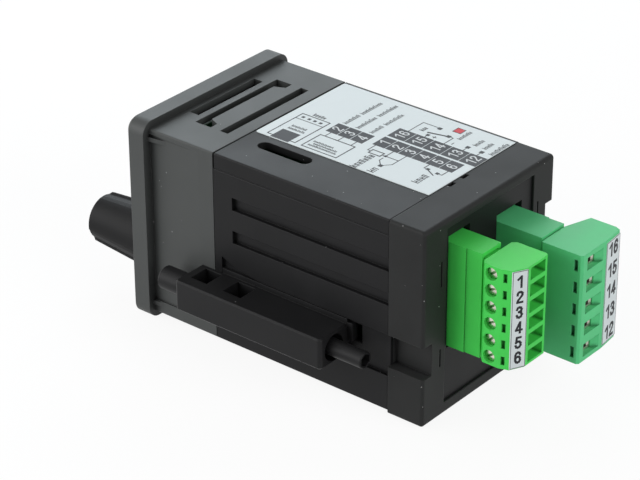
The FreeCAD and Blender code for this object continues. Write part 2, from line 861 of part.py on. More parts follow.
def rear_cap():
    """Rear cap: a deep frame around the terminals, its spigot inside tray and lid."""
    body = piece("rear_cap")
    prism(body, "y", [rect(-cap_side, cap_side, cap_low, top)], case_end, rear)
    soften(body, s.cap_brow, lambda edge: lies(edge, "y", rear) and lies(edge, "z", top))
    soften(body, s.cap_edge, lambda edge: rear_rim(edge) or low_rim(edge))
    inside_low = cap_low + s.wall
    spigot = rect(-lip_side, lip_side, -lip_top, lip_top)
    prism(body, "y", [spigot], case_end - s.lip_long, case_end)
    prism(body, "y", [rect(-cap_inner_side, cap_inner_side, -lip_inner_top, lip_inner_top)],
          case_end - s.lip_long, case_end, cut=True)
    prism(body, "y", [rect(-cap_inner_side, cap_inner_side, inside_low, inner_top)],
          case_end, plate_back, cut=True)
    openings = [rect(-cap_opening, cap_opening, inside_low + s.cap_opening_foot,
                     inner_top - s.cap_opening_head)]
    clip_in = cap_opening + s.clip_inset
    for hand in (1, -1):
        slit = across(hand, clip_in, clip_in + s.clip_wide)
        for height, tall in ((s.upper_clip_z, s.upper_clip_tall), (s.lower_clip_z, s.lower_clip_tall)):
            openings.append(rect(*slit, height - tall / 2, height + tall / 2))
    prism(body, "y", openings, plate_back, rear, cut=True)
    # slide-in notch for each clamp, and two snap notches at the lid
    for hand in (1, -1):
        edges = across(hand, cap_side - s.notch_depth, cap_side + beyond)
        heights = across(hand, s.jack_z - s.notch_under, s.jack_z + s.notch_over)
        prism(body, "y", [rect(*edges, *heights)], case_end, rear, cut=True)
        snap = rect(hand * s.snap_x - s.snap_wide / 2, hand * s.snap_x + s.snap_wide / 2,
                    top - s.snap_deep, top + beyond)
        prism(body, "y", [snap], case_end, case_end + s.snap_long, cut=True)


def rear_rim(edge):
    """Side and bottom edges of the cap's rear face."""
    below_brow = span(edge, "z")[0] < number(top - s.cap_brow)
    return lies(edge, "y", rear) and below_brow


def low_rim(edge):
    return runs(edge, "y") and lies(edge, "z", cap_low)


def terminal(name, hand):
    """Name, hand of the screw side and sizes of one terminal, with places along X towards that side."""
    t = group(f"{name}_")
    t.header_out = cap_opening - t.header_inset
    t.header_in = t.header_out - t.header_wide
    t.header_end = plate_front + t.header_long
    t.plug_in = t.header_in - t.plug_under
    t.plug_out = t.header_out + t.plug_over
    t.plug_front = t.header_end + t.plug_gap
    t.plug_back = t.plug_front + t.plug_long
    t.slant_start = t.plug_out - t.slant_wide
    t.entry_in = t.plug_in + t.entry_inset
    t.entry_out = t.entry_in + t.entry_wide
    t.throat = t.entry_out - t.funnel_wide
    t.screw_y = t.plug_front + t.screw_back
    t.slot_y = t.plug_front + t.slot_back
    return name, hand, t


def terminals():
    return terminal("left", 1), terminal("right", -1)


def rear_plate():
    """Plate inside the cap's opening, cut out around the two terminals."""
    body = piece("rear_plate")
    half = cap_inner_side - s.joint_fit
    outlines = [rect(-half, half, cap_low + s.wall + s.joint_fit, inner_top - s.joint_fit)]
    for _, hand, t in terminals():
        tall = t.poles * t.pitch / 2 + t.header_margin + s.plate_gap
        wide = across(hand, t.header_in - s.plate_gap, t.header_out + s.plate_gap)
        outlines.append(rect(*wide, t.mid - tall, t.mid + tall + s.plate_headroom))
    prism(body, "y", outlines, plate_front, plate_back)


def pin_square(hand, t, half):
    mid = (t.header_in + t.header_out) / 2
    lowest = t.mid - t.pitch * (t.poles - 1) / 2
    return centred(half, half, hand * mid, lowest)


def terminal_board():
    """Rear board, drilled for the pins of both headers."""
    body = piece("terminal_board")
    half = cap_inner_side - s.plate_gap
    prism(body, "y", [centred(half, board_half)], rear_board_front, plate_front)
    for _, hand, t in terminals():
        square = pin_square(hand, t, s.pin_side / 2)
        hole = prism(body, "y", [square], rear_board_front, plate_front, cut=True)
        repeat(body, [hole], t.pitch, t.poles)


def header(name, hand, t):
    """Fixed half of a terminal: an open box around a row of pins."""
    body = piece(f"header_{name}")
    tall = t.poles * t.pitch / 2 + t.header_margin
    floor = plate_front + s.header_floor
    prism(body, "y", [rect(*across(hand, t.header_in, t.header_out), t.mid - tall, t.mid + tall)],
          plate_front, t.header_end)
    inside = across(hand, t.header_in + s.header_wall, t.header_out - s.header_wall)
    tall_inside = tall - s.header_wall
    well = rect(*inside, t.mid - tall_inside, t.mid + tall_inside)
    prism(body, "y", [well], floor, t.header_end, cut=True)
    step = across(hand, t.header_out - s.step_deep, t.header_out + beyond)
    prism(body, "y", [rect(*step, t.mid - tall - beyond, t.mid + tall + beyond)],
          t.header_end - t.step, t.header_end, cut=True)
    hole = prism(body, "y", [pin_square(hand, t, s.pin_side / 2)], plate_front, floor, cut=True)
    repeat(body, [hole], t.pitch, t.poles)


def header_pins(name, hand, t):
    body = piece(f"header_{name}_pins", several=True)
    pin = prism(body, "y", [pin_square(hand, t, s.pin_side / 2)],
                rear_board_front - s.pin_tail, t.header_end - s.pin_short)
    repeat(body, [pin], t.pitch, t.poles)


def plug(name, hand, t):
    """Pull-off half of a terminal: a stem in the header, wire entries behind, screws at the side."""
    body = piece(f"plug_{name}")
    tall = t.poles * t.pitch / 2
    lowest = t.mid - t.pitch * (t.poles - 1) / 2
    slant_end = t.plug_back - t.slant_drop
    bevelled = t.plug_out - t.bevel
    plan = [
        (hand * (t.plug_in + t.inner_bevel), t.plug_front),
        (hand * (t.plug_out - t.front_wide), t.plug_front),
        (hand * t.plug_out, t.plug_front + t.front_bevel),
        (hand * t.plug_out, slant_end - t.bevel_long),
        (hand * bevelled, slant_end),
        (hand * t.slant_start, t.plug_back),
        (hand * (t.plug_in + s.back_bevel), t.plug_back),
        (hand * t.plug_in, t.plug_back - s.back_bevel),
        (hand * t.plug_in, t.plug_front + t.inner_bevel),
    ]
    prism(body, "z", [plan], t.mid - tall, t.mid + tall)
    inset = s.header_wall + s.slide_fit
    stem_tall = tall + t.header_margin - inset
    stem_start = plate_front + s.header_floor + s.stem_clear
    stem_sides = across(hand, t.header_in + inset, t.header_out - inset)
    stem = rect(*stem_sides, t.mid - stem_tall, t.mid + stem_tall)
    prism(body, "y", [stem], stem_start, t.plug_front)
    # per pole: wire entry flared towards the screw side, screw shaft, pin hole and inspection slot
    entry_start = t.plug_front + s.entry_floor
    half = t.entry_tall / 2
    mouth = [
        (hand * t.entry_in, entry_start),
        (hand * t.throat, entry_start),
        (hand * t.throat, t.plug_back - t.funnel_deep),
        (hand * t.entry_out, t.plug_back),
        (hand * t.entry_in, t.plug_back),
    ]
    entry = prism(body, "z", [mouth], lowest - half, lowest + half, cut=True)
    round_shaft = many_sided(t.screw_y, lowest, t.screw_r + s.screw_room, head_sides)
    shaft = prism(body, "x", [round_shaft], *across(hand, t.throat - s.screw_room, t.plug_out), cut=True)
    pin_half = s.pin_side / 2 + s.pin_room
    pin = prism(body, "y", [pin_square(hand, t, pin_half)], stem_start, t.header_end, cut=True)
    face = hand * (t.plug_out if hand > 0 else t.plug_in)
    slot = prism(body, "x", [centred(t.slot_wide / 2, t.slot_tall / 2, t.slot_y, lowest)],
                 face - s.slot_deep, face, cut=True)
    repeat(body, [entry, shaft, pin, slot], t.pitch, t.poles)


def plug_clamps(name, hand, t):
    """Metal cage in each wire entry, open for the wire, with the leaf that the screw presses on."""
    body = piece(f"plug_{name}_clamps", several=True)
    lowest = t.mid - t.pitch * (t.poles - 1) / 2
    half = t.entry_tall / 2 - s.cage_fit
    low = t.entry_in + s.cage_fit
    high = t.throat - s.cage_fit
    wall_in = high - s.cage_wall
    start = t.plug_front + s.entry_floor
    stop = t.plug_back - t.cage_back
    wire_half = half - s.cage_wall
    cage = prism(body, "y", [rect(*across(hand, low, high), lowest - half, lowest + half)], start, stop)
    wire = prism(body, "y", [rect(*across(hand, low + s.cage_wall, wall_in),
                                  lowest - wire_half, lowest + wire_half)], start, stop, cut=True)
    thread = many_sided(t.screw_y, lowest, t.screw_r * s.shank_share + s.cage_fit)
    bore = prism(body, "x", [thread], *across(hand, wall_in, high), cut=True)
    leaf = prism(body, "y", [rect(*across(hand, wall_in - s.leaf_thick, wall_in),
                                  lowest - s.leaf_half, lowest + s.leaf_half)], start, stop + s.leaf_out)
    repeat(body, [cage, wire, bore, leaf], t.pitch, t.poles)


def plug_screws(name, hand, t):
    """Slotted clamping screws, one to a pole."""
    lowest = t.mid - t.pitch * (t.poles - 1) / 2
    body = piece(f"plug_{name}_screws", 0, lowest, several=True)
    head_top = t.plug_out - s.screw_sunk
    head_low = head_top - s.screw_head
    tip = t.throat - s.cage_fit - s.cage_wall
    core = many_sided(t.screw_y, 0, t.screw_r * s.shank_share)
    round_head = many_sided(t.screw_y, 0, t.screw_r, head_sides)
    head = prism(body, "x", [round_head], *across(hand, head_low, head_top))
    shank = prism(body, "x", [core], *across(hand, tip, head_low))
    groove = centred(s.driver_slot / 2, t.screw_r + beyond, t.screw_y, 0)
    slot = prism(body, "x", [groove], *across(hand, head_top - s.driver_slot, head_top), cut=True)
    repeat(body, [head, shank, slot], t.pitch, t.poles)


def number_strip(name, hand, t):
    """Marker strip on the slanted edge of the plug's back."""
    body = piece(f"number_strip_{name}")
    tall = t.poles * t.pitch / 2 - t.strip_margin
    out = hand * (t.plug_out - t.bevel)
    slant_end = t.plug_back - t.slant_drop
    inner = hand * t.slant_start
    band = [
        (out, slant_end),
        (inner, t.plug_back),
        (inner, t.plug_back + s.strip_thick),
        (out, slant_end + s.strip_thick),
    ]
    prism(body, "z", [band], t.mid - tall, t.mid + tall)


def clamp_bracket(name, turn):
    """Bar that hooks into the tray's side and carries the jacking screw."""
    body = piece(f"clamp_bracket_{name}")
    body.Placement.Rotation = FreeCAD.Rotation(FreeCAD.Vector(0, 1, 0), turn)
    inner = side + s.bar_gap
    outer = side + s.bar_out
    prism(body, "y", [rect(inner, outer, bar_low, bar_top)], s.bar_front, bar_back)
    soften(body, s.bar_corner, lambda edge: runs(edge, "z") and lies(edge, "x", outer))
    soften(body, s.bar_edge, lambda edge: lies(edge, "x", outer) and runs(edge, "y"), "Chamfer")
    # shoe that slides in the tray's guide, with a hook in the catch window
    shoe_in = side - s.rail_depth + s.shoe_fit
    shoe = rect(shoe_in, inner, rail_low + s.shoe_side_fit, rail_top - s.shoe_side_fit)
    prism(body, "y", [shoe], rail_start + s.shoe_side_fit, bar_back)
    half = s.catch_tall / 2 - s.catch_play
    hook_end = bar_back + s.catch_tip
    prism(body, "y", [rect(shoe_in, side, catch_z - half, catch_z + half)], bar_back, hook_end)
    hook = rect(shoe_in - s.catch_hook, shoe_in, catch_z - half, catch_z + half)
    prism(body, "y", [hook], catch_start + s.catch_play, hook_end)
    # screw bore, its sunk rear mouth and the moulding pockets above it
    bore = many_sided(jack_x, s.jack_z, s.jack_r + s.jack_bore_fit)
    prism(body, "y", [bore], s.bar_front, bar_back, cut=True)
    rod(body, "y", jack_x, s.jack_z, sink_r, bar_back - s.sink_deep, bar_back, cut=True)
    pocket_in = inner + s.pocket_in
    first = (s.first_pocket_back, s.first_pocket_long)
    second = (s.second_pocket_back, s.second_pocket_long)
    for behind, long in (first, second):
        start = s.bar_front + behind
        pocket = rect(pocket_in, pocket_in + s.pocket_wide, start, start + long)
        prism(body, "z", [pocket], bar_low + s.pocket_floor, bar_top, cut=True)


def clamp_foot(name, turn):
    """Pressure foot on the screw's front end."""
    body = turned_piece(f"clamp_foot_{name}", turn)
    foot_r = s.jack_r + s.foot_wall
    foot_end = s.bar_front - s.foot_gap
    spin(body, [(0, s.foot_start), (foot_r, s.foot_start), (foot_r, foot_end), (0, foot_end)], "V_Axis")
    soften(body, s.foot_edge, lambda edge: lies(edge, "y", s.foot_start), "Chamfer")
    rod(body, "y", 0, 0, s.jack_r + s.running_fit, s.foot_start + s.foot_floor, foot_end, cut=True)


def clamp_screw(name, turn):
    """Jacking screw, slotted at the rear end."""
    body = turned_piece(f"clamp_screw_{name}", turn)
    tip = s.foot_start + s.foot_floor + s.joint_fit
    tail = bar_back + s.jack_tail
    spin(body, [(0, tip), (s.jack_r, tip), (s.jack_r, tail), (0, tail)], "V_Axis")
    soften(body, s.jack_chamfer, lambda edge: lies(edge, "y", tail), "Chamfer")
    slot = centred(s.jack_r + beyond, s.jack_slot / 2)
    prism(body, "y", [slot], tail - s.jack_slot_deep, tail, cut=True)


def turned_piece(label, turn):
    """A piece on the axis of the jacking screw, on the right or, turned about Y, on the left."""
    flip = 1 if turn == 0 else -1
    return piece(label, flip * jack_x, flip * s.jack_z)


def board(label, x, thick_way):
    """A board that stands between the front board and the rear board."""
    body = piece(label)
    faces = (x, x + s.board_thick) if thick_way > 0 else (x - s.board_thick, x)
    outline = rect(display_board_back, rear_board_front, -board_half, board_half)
    prism(body, "x", [outline], *faces)
    return body, faces


def logic_board():
    """Right-hand board, with a card edge under the service port."""
    body, faces = board("logic_board", logic_x, 1)
    edge = rect(port_start + s.card_edge_margin, port_start + s.port_long - s.card_edge_margin,
                board_half, board_half + s.card_edge_rise)
    prism(body, "x", [edge], *faces)


def control_chip():
    body = piece("control_chip")
    face = logic_x + s.board_thick
    half = s.chip_side / 2
    middle = (display_board_back + rear_board_front) / 2
    prism(body, "x", [centred(half, half, middle, 0)], face, face + s.chip_thick)


def output_relay():
    body = piece("output_relay")
    block = centred(s.relay_long / 2, s.relay_tall / 2, rear_board_front - s.relay_back, s.relay_z)
    prism(body, "x", [block], power_x, power_x + s.relay_high)
    soften(body, s.body_edge, lambda edge: runs(edge, "x"))


def transformer():
    """Power transformer: a core with two outer legs and the winding between them."""
    body = piece("transformer")
    half = s.core_long / 2
    tall = s.core_tall / 2
    middle = display_board_back + s.core_front
    prism(body, "x", [centred(half, tall, middle, s.core_z)], power_x, power_x + s.core_high)
    winding = centred(half + s.winding_bulge, tall - s.core_leg, middle, s.core_z)
    prism(body, "x", [winding], power_x + s.winding_bulge, power_x + s.core_high - s.winding_bulge)


def main_capacitor():
    """Round can standing on the power board."""
    body = piece("main_capacitor")
    can = many_sided(display_board_back + s.can_front, s.can_z, s.can_r)
    prism(body, "x", [can], power_x, power_x + s.can_high)


def board_links(label, start):
    """Pin strips that join the two standing boards to the board across their ends."""
    body = piece(label, several=True)
    logic_face = logic_x + s.board_thick
    power_face = power_x - s.board_thick
    for edges in ((logic_face, logic_face + s.link_side), (power_face - s.link_side, power_face)):
        prism(body, "y", [rect(*edges, -s.link_half, s.link_half)], start, start + s.link_side)


def build():
    front_bezel()
    front_foil()
    display_window()
    led_display()
    display_board()
    encoder_body()
    encoder_nut()
    encoder_shaft()
    knob()
    lower_shell()
    top_lid()
    wiring_label()
    rear_cap()
    rear_plate()
    terminal_board()
    for facts in terminals():
        header(*facts)
        header_pins(*facts)
        plug(*facts)
        plug_clamps(*facts)
        plug_screws(*facts)
        number_strip(*facts)
    for name, turn in (("right", 0), ("left", 180)):
        clamp_bracket(name, turn)
        clamp_foot(name, turn)
        clamp_screw(name, turn)
    logic_board()
    board("power_board", power_x, -1)
    control_chip()
    output_relay()
    transformer()
    main_capacitor()
    board_links("front_links", display_board_back)
    board_links("rear_links", rear_board_front - s.link_side)


def check():
    """Stop if an object failed, a shape is broken or a cut took nothing away."""
    for thing in doc.Objects:
        if "Invalid" in thing.State or "Error" in thing.State:
            raise RuntimeError(f"{thing.Label} failed: {thing.State}")
    for body in pieces:
        if body.Shape.isNull() or not body.Shape.isValid():
            raise RuntimeError(f"{body.Label} has no valid shape")
    for cut in cuts:
        if cut.Shape.Volume > cut.BaseFeature.Shape.Volume - tiny * tiny:
            raise RuntimeError(f"{cut.Label} of {cut.getParentGeoFeatureGroup().Label} cuts nothing")


def write():
    os.makedirs("parts", exist_ok=True)
    for body in pieces:
        body.Shape.exportStep(f"parts/{body.Label}.step")
        print(body.Label, len(body.Shape.Solids), round(body.Shape.Volume, 2))


build()
doc.recompute()
check()
write()
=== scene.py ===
import math
import bpy
from mathutils import Matrix, Quaternion, Vector


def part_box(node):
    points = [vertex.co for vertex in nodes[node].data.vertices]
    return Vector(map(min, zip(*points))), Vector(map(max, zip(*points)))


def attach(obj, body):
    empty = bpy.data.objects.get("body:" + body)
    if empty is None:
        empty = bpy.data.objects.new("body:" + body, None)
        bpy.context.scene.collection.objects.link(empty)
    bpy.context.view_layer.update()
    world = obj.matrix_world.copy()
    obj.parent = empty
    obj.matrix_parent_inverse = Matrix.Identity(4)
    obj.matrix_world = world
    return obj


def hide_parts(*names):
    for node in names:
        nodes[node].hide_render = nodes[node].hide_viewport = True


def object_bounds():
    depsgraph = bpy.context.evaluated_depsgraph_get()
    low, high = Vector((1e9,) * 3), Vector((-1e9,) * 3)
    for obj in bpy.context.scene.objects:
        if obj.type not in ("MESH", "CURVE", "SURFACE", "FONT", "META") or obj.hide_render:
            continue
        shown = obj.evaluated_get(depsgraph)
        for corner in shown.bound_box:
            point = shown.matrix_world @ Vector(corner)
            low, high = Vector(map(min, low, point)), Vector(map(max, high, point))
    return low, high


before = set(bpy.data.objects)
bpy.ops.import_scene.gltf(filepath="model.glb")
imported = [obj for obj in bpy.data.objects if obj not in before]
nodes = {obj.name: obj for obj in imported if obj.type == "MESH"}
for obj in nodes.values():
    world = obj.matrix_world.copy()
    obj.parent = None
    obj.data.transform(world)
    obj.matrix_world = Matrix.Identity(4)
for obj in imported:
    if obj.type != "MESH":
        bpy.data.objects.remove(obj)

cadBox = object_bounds()
mm = 0.001
scene = bpy.context.scene
scene.view_settings.view_transform = "Standard"
print("frame loaded", len(nodes), "nodes")


# small helpers for modelling by operator

mergeReach = 0.0001 * mm
squareOn = 0.9      # share of a normal along an axis that counts as facing it


def deselectAll():
    active = bpy.context.view_layer.objects.active
    if active and active.mode != "OBJECT":
        bpy.ops.object.mode_set(mode="OBJECT")
    bpy.ops.object.select_all(action="DESELECT")


def pick(piece):
    deselectAll()
    piece.select_set(True)
    bpy.context.view_layer.objects.active = piece


def applyPlace(piece):
    pick(piece)
    bpy.ops.object.transform_apply(location=True, rotation=True, scale=True)


def joinAll(pieces, name):
    deselectAll()
    for piece in pieces:
        piece.select_set(True)
    bpy.context.view_layer.objects.active = pieces[0]
    if len(pieces) > 1:
        bpy.ops.object.join()
    joined = bpy.context.object
    joined.name = name
    joined.data.name = name
    return joined


def copyOf(piece):
    # a copy with its own mesh
    pick(piece)
    bpy.ops.object.duplicate(linked=False)
    return bpy.context.object


def dress(piece, material, body):
    piece.data.materials.clear()
    piece.data.materials.append(material)
    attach(piece, body)


def seat(piece, place, out, up=(0, 0, 1)):
    # stand a piece drawn on the XY plane at a place, facing out
    facing, above = Vector(out).normalized(), Vector(up)
    beside = above.cross(facing)
    piece.rotation_euler = Matrix((beside, above, facing)).transposed().to_euler()
    piece.location = place
    applyPlace(piece)


def markFaces(piece, wanted):
    # leaves edit mode on, with the faces that answer the test selected
    pick(piece)
    bpy.ops.object.mode_set(mode="EDIT")
    bpy.ops.mesh.select_mode(type="FACE")
    bpy.ops.mesh.select_all(action="DESELECT")
    bpy.ops.object.mode_set(mode="OBJECT")
    for face in piece.data.polygons:
        face.select = wanted(face)
    bpy.ops.object.mode_set(mode="EDIT")


def closeUp(piece):
    # merge doubles, turn the faces outwards
    pick(piece)
    bpy.ops.object.mode_set(mode="EDIT")
    bpy.ops.mesh.select_all(action="SELECT")
    bpy.ops.mesh.remove_doubles(threshold=mergeReach)
    bpy.ops.mesh.normals_make_consistent(inside=False)
    bpy.ops.object.mode_set(mode="OBJECT")


def cutWith(piece, cutter):
    pick(piece)
    cut = piece.modifiers.new("cut", "BOOLEAN")
    cut.operation = "DIFFERENCE"
    cut.solver = "EXACT"
    cut.object = cutter
    bpy.ops.object.modifier_apply(modifier=cut.name)
    bpy.data.objects.remove(cutter)


# camera at the photo's view

view = {
    "place": (0.384034, 0.344002, 0.270612),
    "aim": (-0.009466, 0.021085, -0.010952),
    "roll": -0.2436,
    "lens": 147.09,
    "sensor": 36.0,
    "clip": (0.01, 20.0),
}


def addCamera():
    place, aim = Vector(view["place"]), Vector(view["aim"])
    deselectAll()
    bpy.ops.object.camera_add(location=place)
    camera = bpy.context.object
    camera.name = "viewCamera"
    turn = (aim - place).to_track_quat("-Z", "Y")
    roll = Quaternion((0.0, 0.0, 1.0), math.radians(view["roll"]))
    camera.rotation_mode = "QUATERNION"
    camera.rotation_quaternion = turn @ roll
    camera.data.lens = view["lens"]
    camera.data.sensor_width = view["sensor"]
    camera.data.clip_start, camera.data.clip_end = view["clip"]
    scene.camera = camera


addCamera()


# studio: three soft boxes, pale floor, white surround

studio = {
    "left": {"toward": (0.68, -0.66, 0.31), "far": 0.75, "wide": 1.20, "tall": 0.50, "level": 1.02,
             "tint": (1.0, 1.0, 1.0)},
    "rear": {"toward": (0.05, 0.90, 0.43), "far": 0.75, "wide": 0.55, "tall": 0.45, "level": 0.42,
             "tint": (1.0, 1.0, 1.0)},
    "back": {"toward": (-0.68, -0.56, 0.48), "far": 0.80, "wide": 0.80, "tall": 0.50, "level": 0.45,
             "tint": (0.88, 1.0, 1.07)},
    "surround": 0.25,       # strength where the surround isn't seen directly
    "centre": (0.0, 0.040, 0.0),
    "floorSize": 6.0,
    "floorTone": 0.60,      # what the floor throws back on the part
    "floorShow": 0.12,      # what takes the shadow in sight
    "floorGlow": 0.90,
}


def grey(level):
    return (level, level, level, 1.0)


def addSoftBox(name, lamp):
    centre = Vector(studio["centre"])
    toward = Vector(lamp["toward"]).normalized()
    deselectAll()
    bpy.ops.object.light_add(type="AREA", location=centre + toward * lamp["far"])
    light = bpy.context.object
    light.name = name
    light.rotation_mode = "QUATERNION"
    light.rotation_quaternion = (-toward).to_track_quat("-Z", "Y")
    light.data.shape = "RECTANGLE"
    light.data.size = lamp["wide"]
    light.data.size_y = lamp["tall"]
    light.data.color = lamp["tint"]
    light.data.energy = lamp["level"] * math.pi ** 2 * lamp["far"] ** 2


def mathNode(tree, operation, first, second):
    node = tree.nodes.new("ShaderNodeMath")
    node.operation = operation
    for socket, value in zip(node.inputs, (first, second)):
        if isinstance(value, float):
            socket.default_value = value
        else:
            tree.links.new(value, socket)
    return node.outputs[0]


def seenDirectly(tree):
    # 1 for camera, glossy and transmission rays
    rays = tree.nodes.new("ShaderNodeLightPath").outputs
    either = mathNode(tree, "MAXIMUM", rays["Is Camera Ray"], rays["Is Glossy Ray"])
    return mathNode(tree, "MAXIMUM", either, rays["Is Transmission Ray"])


def addSurround():
    world = bpy.data.worlds.new("whiteSurround")
    scene.world = world
    world.use_nodes = True
    tree = world.node_tree
    back = tree.nodes["Background"]
    back.inputs["Color"].default_value = grey(1.0)
    strength = tree.nodes.new("ShaderNodeMapRange")
    tree.links.new(seenDirectly(tree), strength.inputs["Value"])
    strength.inputs["To Min"].default_value = studio["surround"]
    strength.inputs["To Max"].default_value = 1.0
    tree.links.new(strength.outputs["Result"], back.inputs["Strength"])


def addFloor():
    low = cadBox[0][2]
    deselectAll()
    bpy.ops.mesh.primitive_plane_add(size=studio["floorSize"], location=(0, 0, low))
    floor = bpy.context.object
    floor.name = "floor"
    paint = bpy.data.materials.new("floorWhite")
    paint.use_nodes = True
    tree = paint.node_tree
    tree.nodes.clear()
    out = tree.nodes.new("ShaderNodeOutputMaterial")
    full = tree.nodes.new("ShaderNodeBsdfDiffuse")
    full.inputs["Color"].default_value = grey(studio["floorTone"])
    pale = tree.nodes.new("ShaderNodeBsdfDiffuse")
    pale.inputs["Color"].default_value = grey(studio["floorShow"])
    glow = tree.nodes.new("ShaderNodeEmission")
    glow.inputs["Strength"].default_value = studio["floorGlow"]
    added = tree.nodes.new("ShaderNodeAddShader")
    tree.links.new(pale.outputs[0], added.inputs[0])
    tree.links.new(glow.outputs[0], added.inputs[1])
    either = tree.nodes.new("ShaderNodeMixShader")
    tree.links.new(seenDirectly(tree), either.inputs["Fac"])
    tree.links.new(full.outputs[0], either.inputs[1])
    tree.links.new(added.outputs[0], either.inputs[2])
    tree.links.new(either.outputs[0], out.inputs["Surface"])
    floor.data.materials.append(paint)


for lampName in ("left", "rear", "back"):
    addSoftBox(lampName + "Light", studio[lampName])
addSurround()
addFloor()
print("studio ready")


# shader groups shared by the finishes; each finish sets every input

patterns = {
    "grain": {"detail": 3.0, "rough": 0.6},
    "drift": {"detail": 4.0, "rough": 0.55},
    "paleEdgeNoise": {"scale": 380.0, "detail": 4.0, "rough": 0.65},
    "paleEdgeSamples": 4, "skySamples": 4, "edgeSamples": 6,
    "noiseSpan": (0.3, 0.7),        # the part of a noise that is stretched to a range
}


def newGroup(name, ins, outs):
    group = bpy.data.node_groups.new(name, "ShaderNodeTree")
    for way, labels in (("INPUT", ins), ("OUTPUT", outs)):
        for label in labels:
            group.interface.new_socket(label, in_out=way, socket_type="NodeSocketFloat")
    return group, group.nodes.new("NodeGroupInput"), group.nodes.new("NodeGroupOutput")


def objectPlace(tree):
    return tree.nodes.new("ShaderNodeTexCoord").outputs["Object"]


def noise(tree, scale, detail, rough):
    node = tree.nodes.new("ShaderNodeTexNoise")
    node.inputs["Detail"].default_value = detail
    node.inputs["Roughness"].default_value = rough
    tree.links.new(objectPlace(tree), node.inputs["Vector"])
    if isinstance(scale, float):
        node.inputs["Scale"].default_value = scale
    else:
        tree.links.new(scale, node.inputs["Scale"])
    return node.outputs["Fac"]


def moulding():
    # fine eroded grain, and a slow drift in tone and gloss
    group, source, drain = newGroup("mouldGrain", ["Grain", "Drift"], ["Height", "Tone"])
    grain = noise(group, source.outputs["Grain"], **patterns["grain"])
    drift = noise(group, source.outputs["Drift"], **patterns["drift"])
    group.links.new(grain, drain.inputs["Height"])
    group.links.new(drift, drain.inputs["Tone"])
    return group


def dusting():
    # sparse pale specks: cells of a Voronoi pattern, most of them left empty
    group, source, drain = newGroup("dustSpecks", ["Scale", "Share", "Size"], ["Mask"])
    cells = group.nodes.new("ShaderNodeTexVoronoi")
    group.links.new(objectPlace(group), cells.inputs["Vector"])
    group.links.new(source.outputs["Scale"], cells.inputs["Scale"])
    near = mathNode(group, "LESS_THAN", cells.outputs["Distance"], source.outputs["Size"])
    chance = group.nodes.new("ShaderNodeSeparateColor")
    group.links.new(cells.outputs["Color"], chance.inputs["Color"])
    few = mathNode(group, "LESS_THAN", chance.outputs["Red"], source.outputs["Share"])
    group.links.new(mathNode(group, "MULTIPLY", near, few), drain.inputs["Mask"])
    return group


def edgeWearAndHighlight():
    # edges made pale, partly as wear and partly as painted highlight: where the rounded normal leaves the
    # flat one, broken up by noise
    group, source, drain = newGroup("paleEdgeWearAndHighlight", ["Radius", "Amount"], ["Mask"])
    rounded = group.nodes.new("ShaderNodeBevel")
    rounded.samples = patterns["paleEdgeSamples"]
    group.links.new(source.outputs["Radius"], rounded.inputs["Radius"])
    flat = group.nodes.new("ShaderNodeNewGeometry")
    along = group.nodes.new("ShaderNodeVectorMath")
    along.operation = "DOT_PRODUCT"
    group.links.new(rounded.outputs["Normal"], along.inputs[0])
    group.links.new(flat.outputs["Normal"], along.inputs[1])
    lost = mathNode(group, "SUBTRACT", 1.0, along.outputs["Value"])
    wornAndHighlit = mathNode(group, "MULTIPLY", lost, source.outputs["Amount"])
    patchy = mathNode(group, "MULTIPLY", wornAndHighlit, noise(group, **patterns["paleEdgeNoise"]))
    group.links.new(mathNode(group, "MINIMUM", patchy, 1.0), drain.inputs["Mask"])
    return group


def shadePainting():
    # painted shade for narrow slots and deep corners: 1 where little of the surroundings is in sight; the
    # finishes darken their colour there
    group, source, drain = newGroup("paintedDeepShade", ["Reach", "Power"], ["Mask"])
    sky = group.nodes.new("ShaderNodeAmbientOcclusion")
    sky.samples = patterns["skySamples"]
    sky.only_local = True
    group.links.new(source.outputs["Reach"], sky.inputs["Distance"])
    sight = mathNode(group, "POWER", sky.outputs["AO"], source.outputs["Power"])
    group.links.new(mathNode(group, "SUBTRACT", 1.0, sight), drain.inputs["Mask"])
    return group


grainGroup = moulding()
dustGroup = dusting()
wearHighlightGroup = edgeWearAndHighlight()
paintedShadeGroup = shadePainting()


# finishes

def newFinish(name):
    finish = bpy.data.materials.new(name)
    finish.use_nodes = True
    return finish, finish.node_tree, finish.node_tree.nodes["Principled BSDF"]


def placeGroup(tree, group, **values):
    node = tree.nodes.new("ShaderNodeGroup")
    node.node_tree = group
    for label, value in values.items():
        node.inputs[label].default_value = value
    return node


def spread(tree, value, low=0.0, high=1.0):
    # stretch a noise to a range
    node = tree.nodes.new("ShaderNodeMapRange")
    tree.links.new(value, node.inputs["Value"])
    limits = patterns["noiseSpan"] + (low, high)
    for label, limit in zip(("From Min", "From Max", "To Min", "To Max"), limits):
        node.inputs[label].default_value = limit
    return node.outputs["Result"]


def blendColour(tree, mask, first, second):
    node = tree.nodes.new("ShaderNodeMix")
    node.data_type = "RGBA"
    tree.links.new(mask, node.inputs["Factor"])
    for socket, colour in ((node.inputs[6], first), (node.inputs[7], second)):      # the colours A and B
        if isinstance(colour, tuple):
            socket.default_value = colour + (1.0,)
        else:
            tree.links.new(colour, socket)
    return node.outputs[2]      # the colour


def softBump(tree, shader, height, strength, depth, edge):
    # fine height over a rounded edge
    bump = tree.nodes.new("ShaderNodeBump")
    bump.inputs["Strength"].default_value = strength
    bump.inputs["Distance"].default_value = depth
    tree.links.new(height, bump.inputs["Height"])
    if edge:
        rounding = tree.nodes.new("ShaderNodeBevel")
        rounding.samples = patterns["edgeSamples"]
        rounding.inputs["Radius"].default_value = edge
        tree.links.new(rounding.outputs["Normal"], bump.inputs["Normal"])
    tree.links.new(bump.outputs["Normal"], shader.inputs["Normal"])


